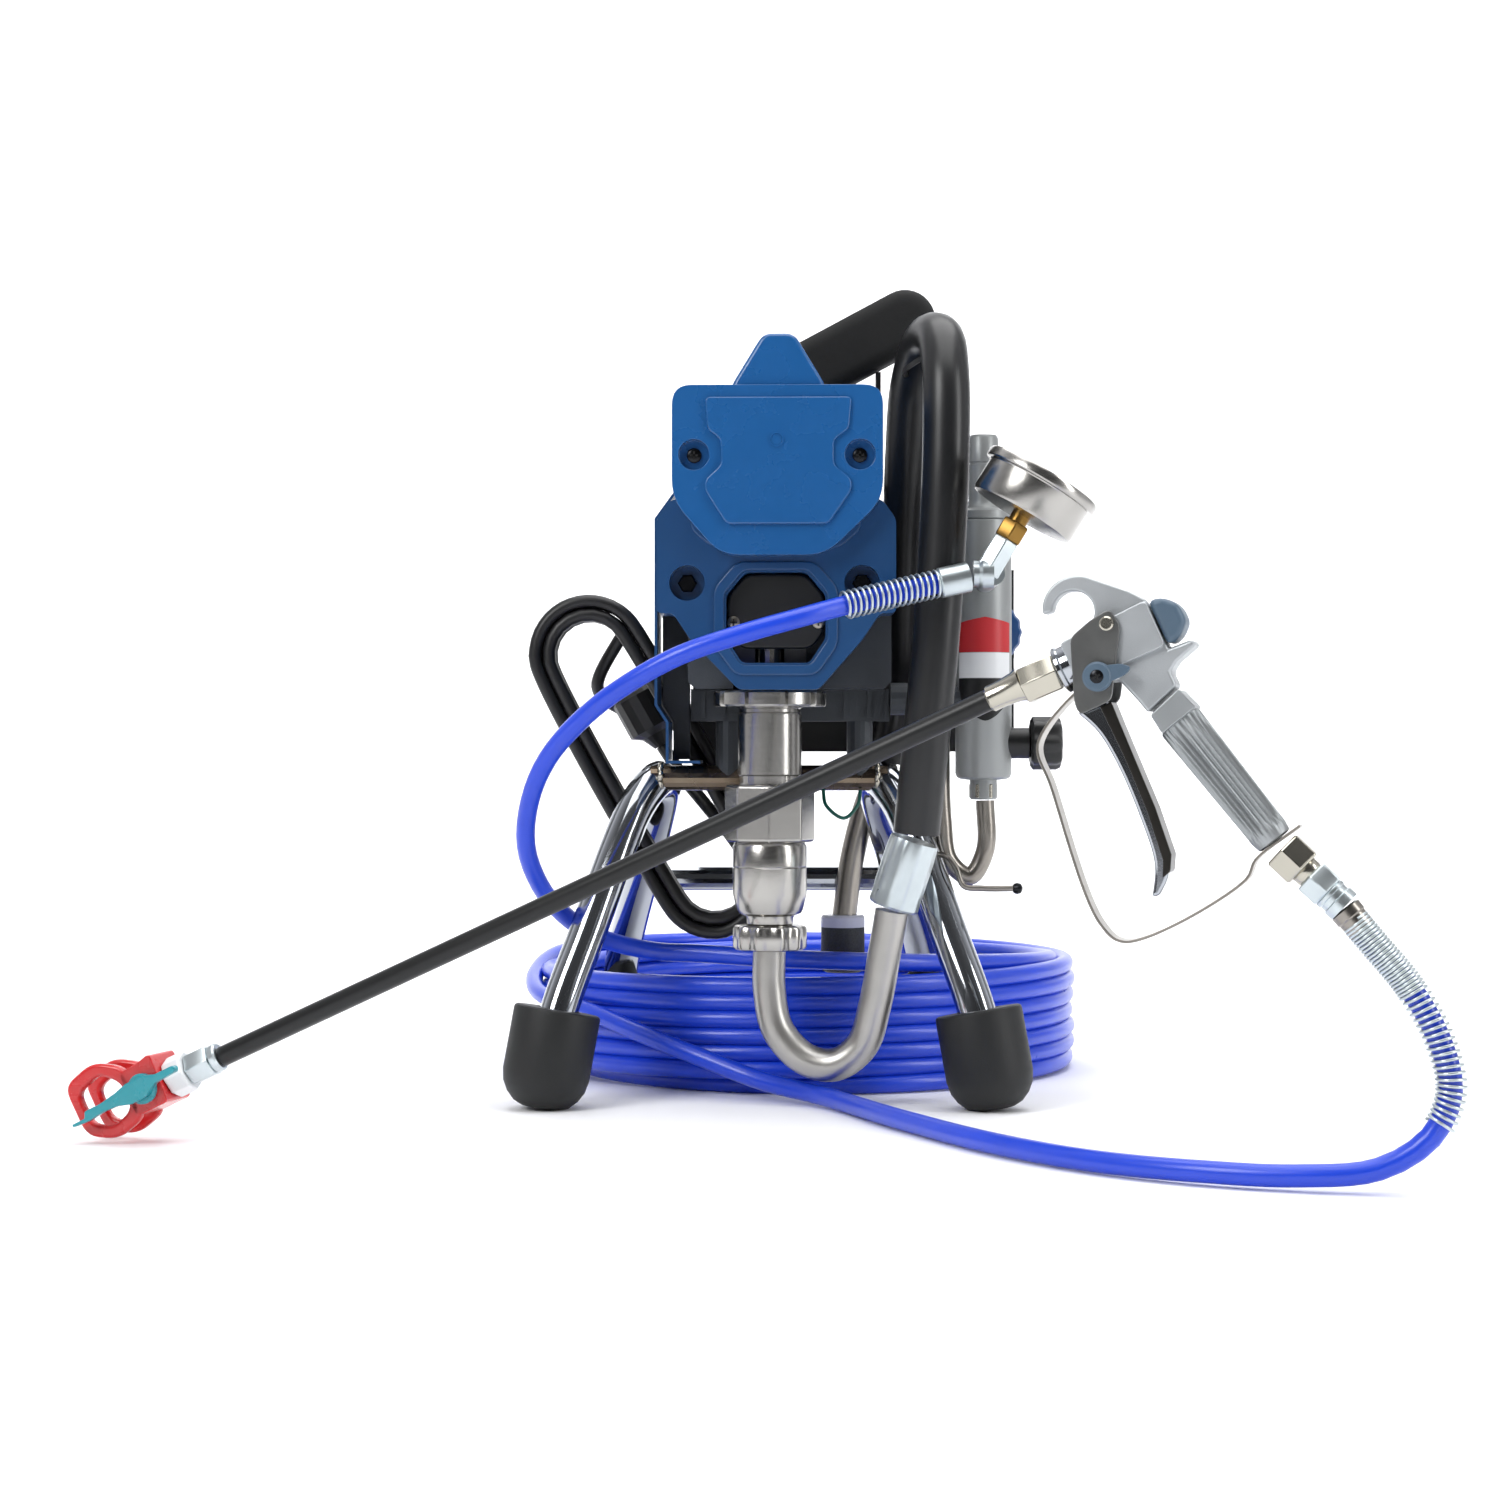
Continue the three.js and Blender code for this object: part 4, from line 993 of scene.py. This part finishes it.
# ---------- gun ----------
def gun():
    kw = {"place": GUN}
    outline = [
        (-15.4, 9.3), (29.8, 10.6), (30, -14.6), (42, -15.4), (42.6, -18.6), (31.3, -21.8), (26.5, -25),
        (26.5, -32.3), (9, -38.3), (7, -30.8), (3, -18.7), (-15.4, -13.4),
    ]
    bm = bmesh.new()
    add_slab(bm, outline, -9.5, 9.5)
    put("gun_casting", bm, "gun", bevel=2.2, nodes=("gun_body",), **kw)
    slab(
        "gun_barrel", rounded([(-15, 9), (29.8, 10.4), (29.8, -13), (-15, -12)], 3, 3), -12.3, 12.3, "gun",
        bevel=3.4, **kw,
    )
    hook_centre = Vector((-3.9, 20.4))
    hook = [(3.5, 7)]
    for i in range(25):
        t = math.radians(-50 + 205 * i / 24)
        hook.append((hook_centre.x + 10 * math.cos(t), hook_centre.y + 10 * math.sin(t)))
    for i in range(21):
        t = math.radians(160 - 122 * i / 20)
        r = 14.6 + 3.4 * i / 20
        hook.append((hook_centre.x + r * math.cos(t), hook_centre.y + r * math.sin(t)))
    hook += [(24, 18.2), (29.4, 11.2), (29, 7)]
    slab("gun_hook", hook, -5.5, 5.5, "gun", bevel=1.4, **kw)
    turned(
        "gun_nose", [(10.4, 0), (11.4, 0.6), (11.4, 2.2), (10.6, 3), (10.6, 8)], "chrome",
        base=(-22, 0, -2), axis=(1, 0, 0), **kw,
    )
    cap = [(30.4, 10), (37.5, 8.6), (43, 2.5), (43.3, -6.5), (37, -12.6), (30.4, -13.4)]
    slab("gun_cap", cap, -10.8, 10.8, "grey_blue", bevel=3.6, nodes=("gun_rear_cap",), **kw)
    for i, y in enumerate((-12.6, 12.6)):
        turned(
            f"gun_pin_{i}", [(3.4, -1), (3.4, 3.6), (2.6, 4.2)], "nickel", base=(9.4, y, 7.7),
            axis=(0, -1 if y < 0 else 1, 0), sides=40, **kw,
        )

    top, low = Vector((19.9, 0, -47.7)), Vector((37.1, 0, -116.6))
    ribbed(top, low)
    slab(
        "grip_collar", rounded([(9.8, -39.6), (26.8, -33.9), (30.8, -45), (11.2, -50)], 1, 2), -11.8, 11.8,
        "grip", bevel=3.4, **kw,
    )

    for i, (a, b) in enumerate(((-15.1, -13.0), (13.0, 15.1))):
        cheek = rounded(
            [(3, 12.5), (13.5, 13.5), (14.5, 4), (-3.5, -26), (-20, -26), (-20, -20), (-9, 9)], 3, 3,
        )
        slab(f"trigger_cheek_{i}", cheek, a, b, "cheek", body="trigger", bevel=0.5, **kw)
    front = [(-21.5, -24), (-16.5, -36), (-14.4, -52), (-14.8, -80), (-17.8, -104), (-25.2, -117.6)]
    back = [(-21.6, -118.3), (-14.4, -112), (-10.6, -104), (-8.2, -80), (-7.2, -52), (-7, -38), (-6, -24)]
    slab(
        "trigger_blade", smooth2(front) + smooth2(back), -8.4, 8.4, "chrome", body="trigger", bevel=2.4,
        nodes=("trigger",), **kw,
    )
    web = [
        (-10.5, -26), (-9.8, -52), (-10.6, -80), (-13.3, -104), (-17, -111.5), (-12.2, -110), (-8.4, -103),
        (-6.2, -80), (-5.4, -52), (-5, -38), (-4.5, -26),
    ]
    slab("trigger_web", web, -9.2, 9.2, "plate", body="trigger", bevel=0.8, **kw)

    turned(
        "lock_boss", [(6.2, 0), (7, 0.8), (7, 3.2), (6, 4.4), (4.2, 4.6)], "grey_blue",
        base=(-4.5, -15.5, -13.4), axis=(0, -1, 0), body="trigger_lock", nodes=("trigger_lock",), **kw,
    )
    slab(
        "lock_lever", rounded([(-2, -18.2), (-2, -9.2), (8, -12.4), (12, -16), (8, -18.2)], 2, 3), -19.2,
        -16.2, "grey_blue", body="trigger_lock", bevel=0.7, **kw,
    )
    screw("lock_screw", (-4.5, -19.4, -13.4), (0, -1, 0), 3.4, "screw", "trigger_lock", GUN)

    line = [
        (-14, -14.8), (-19.5, -15.4), (-45.2, -30), (-47.5, -50), (-53, -119), (-46, -131.5), (18, -127.5),
        (26, -120.9), (51, -114.7),
    ]
    strip([Vector((p[0], 0, p[1])) for p in line])


def smooth2(points):
    return [(p.x, p.y) for p in smooth_path([(a, b, 0) for a, b in points], 2.5)]


def strip(points):
    """Steel guard strap: flat section swept in the gun's plane."""
    way = smooth_path(points, 2.0)
    bm = bmesh.new()
    rows = []
    for i, p in enumerate(way):
        d = (way[min(i + 1, len(way) - 1)] - way[max(i - 1, 0)]).normalized()
        side = Vector((d.z, 0, -d.x))
        corner = ((-6.8, -0.7), (6.8, -0.7), (6.8, 0.7), (-6.8, 0.7))
        rows.append([bm.verts.new(p + Vector((0, y, 0)) + side * t) for y, t in corner])
    for a, b in zip(rows, rows[1:]):
        for k in range(4):
            bm.faces.new((a[k], a[(k + 1) % 4], b[(k + 1) % 4], b[k]))
    bm.faces.new(rows[0])
    bm.faces.new(rows[-1])
    put("guard_strap", bm, "dull", nodes=("trigger_guard",), place=GUN, bevel=0.4, segments=2)


def ribbed(a, b):
    """The grip: tapered, with lengthwise ribs and a plain foot."""
    axis = b - a
    length = axis.length
    profile = [
        (9.6, -1), (10.6, 0), (10.8, 1.5), (9.6, length - 10), (9.6, length - 5), (8.8, length - 0.6),
        (7.6, length),
    ]
    sides = 240
    m = frame_for(a, axis)
    bm = bmesh.new()
    rings = []
    levels = []
    for (r0, h0), (r1, h1) in zip(profile, profile[1:]):
        n = max(1, int((h1 - h0) / 8))
        levels += [(r0 + (r1 - r0) * k / n, h0 + (h1 - h0) * k / n) for k in range(n)]
    levels.append(profile[-1])
    for r, h in levels:
        deep = 1.15 * min(1.0, max(0.0, (h - 1.0) / 1.5)) * min(1.0, max(0.0, (length - 7 - h) / 2.5))
        ring = []
        for i in range(sides):
            t = 2 * math.pi * i / sides
            rr = r - deep * (0.5 - 0.5 * math.cos(24 * t)) ** 0.7
            ring.append(bm.verts.new(m @ Vector((rr * math.cos(t), rr * math.sin(t), h))))
        rings.append(ring)
    for p, q in zip(rings, rings[1:]):
        for i in range(sides):
            bm.faces.new((p[i], p[(i + 1) % sides], q[(i + 1) % sides], q[i]))
    bm.faces.new(list(reversed(rings[0])))
    bm.faces.new(rings[-1])
    put("grip_ribbed", bm, "grip", nodes=("gun_grip",), place=GUN)


def lance():
    kw = {"place": GUN}
    turned(
        "lance_tube", [(5.0, -502), (5.3, -501), (5.3, -58)], "lance", axis=(1, 0, 0), nodes=("lance",),
        **kw,
    )
    turned(
        "lance_ferrule", [(5.4, -59), (6.4, -58), (6.4, -52), (7.4, -44), (8.6, -41)], "nickel",
        axis=(1, 0, 0), **kw,
    )
    hexagon("lance_hex", 9.8, (-41, 0, -1.4), (-22.4, 0, -2), "nickel", **kw)
    turned(
        "tip_washer", [(6.6, -507), (7.5, -506), (7.5, -503.2), (6.6, -502.4)], "zinc", base=(0, 0, 0.6),
        axis=(1, 0, 0), nodes=("tip_nut",), **kw,
    )
    hexagon("tip_hex", 9.0, (-521, 0, 0.6), (-507, 0, 0.6), "zinc", **kw)
    foot, way = Vector((38.6, 0, -121.2)), Vector((0.38, 0, -0.925)).normalized()
    hexagon("swivel_hex", 11, foot, foot + way * 13.5, "nickel", nodes=("gun_swivel",), **kw)
    neck = [(6.2, 12), (7.0, 13.5), (7.0, 17), (6.2, 18.5)]
    turned("swivel_neck", neck, "nickel", base=foot, axis=way, **kw)
    hexagon("swivel_nut", 9.6, foot + way * 18, foot + way * 29, "zinc", **kw)
    sleeve = [(7.4, 28.6), (8.2, 29.6), (8.2, 31), (7.6, 31.6), (7.6, 34), (8.4, 34.6), (8.4, 39)]
    turned("swivel_sleeve", sleeve, "zinc", base=foot, axis=way, nodes=("hose_end_gun",), **kw)
    tip_parts()
    hexagon("tip_collar", 11.0, (-532.6, 0, 0.6), (-521.2, 0, 0.6), "white", sides=8, **kw)


def add_loop(bm, outer, inner, y0, y1):
    """Adds a flat ring between two outlines with equal point counts."""
    loops = []
    for y in (y0, y1):
        loops.append([[bm.verts.new((q[0], y, q[1])) for q in line] for line in (outer, inner)])
    n = len(outer)
    (a, b), (c, d) = loops
    for i in range(n):
        j = (i + 1) % n
        bm.faces.new((a[i], a[j], b[j], b[i]))
        bm.faces.new((c[i], c[j], d[j], d[i]))
        bm.faces.new((a[i], a[j], c[j], c[i]))
        bm.faces.new((b[i], b[j], d[j], d[i]))


def tip_parts():
    """Red guard with two open loops, and the reversible tip with its slim key."""
    outer = rounded(
        [(-549, 15.5), (-566, 25), (-586, 19.5), (-584.5, -9), (-568, -17.5), (-549, -12.5)], 7, 5,
    )
    inner = rounded(
        [(-554.5, 8.5), (-564, 17.5), (-579.5, 13), (-578.5, -4.5), (-567.5, -10.5), (-554.5, -6)], 5, 5,
    )
    for i, (y0, y1) in enumerate(((-13.3, -7.6), (7.6, 13.3))):
        bm = bmesh.new()
        add_loop(bm, outer, inner, y0, y1)
        put(f"guard_loop_{i}", bm, "red", body="tip_guard", place=GUN, bevel=2.0, segments=4,
            nodes=("tip_guard",) if i == 0 else ())
    root = rounded(
        [(-533, 16.6), (-541, 14.5), (-553.5, 13.5), (-553.5, -11), (-541, -10.6), (-533, -10.6)], 3, 3,
    )
    slab("guard_root", root, -13.3, 13.3, "red", body="tip_guard", place=GUN, bevel=2.2, segments=4)
    hub = [(6.6, 13.0), (8.0, 13.4), (8.0, 15.4), (6.8, 16.6)]
    turned(
        "tip_hub", hub, "teal", base=(-543.3, 0, 1), axis=(0, -1, 0), body="spray_tip", place=GUN,
        nodes=("spray_tip",),
    )
    turned(
        "tip_end", [(5.4, 13.0), (6, 13.6), (6, 14.5)], "teal", base=(-543.3, 0, 1), axis=(0, 1, 0),
        body="spray_tip", place=GUN,
    )
    key = [
        (-585, -1.2), (-577, -1.0), (-575.5, 2.4), (-566, 2.6), (-556, 4.2), (-548, 6.4), (-538, 6.8),
        (-531, 4.6), (-519.5, 4.8), (-518.5, 3.2), (-519.5, 1.2), (-532, 0.4), (-540, -4.0), (-549, -4.6),
        (-557, -2.4), (-566, -2.0), (-575, -3.2), (-585, -2.8),
    ]
    slab("tip_key", key, -21.2, -16.0, "teal", body="spray_tip", place=GUN, bevel=1.0, segments=3)


def handle():
    a, b = (8, 423), (81, 462)
    tilt = math.atan2(b[1] - a[1], b[0] - a[0])
    outline = []
    for c, s in ((a, tilt + math.pi / 2), (b, tilt - math.pi / 2)):
        for i in range(17):
            t = s + math.pi * i / 16
            outline.append((c[0] + 18.4 * math.cos(t), c[1] + 18.4 * math.sin(t)))
    slab("grip_foam", outline, 72.2, 101.8, "foam", nodes=("handle_grip",), bevel=9.0, segments=6)


stand()
front_shells()
pump()
suction_parts()
filter_parts()
gauge()
hose_springs()
gun()
lance()
handle()
curve(
    "earth_wire",
    smooth_path([(32, 60, 182), (34, 50, 172), (44, 48, 165), (52, 52, 172), (54, 58, 181)], 2.0), 1.1,
    "green", sides=3,
)
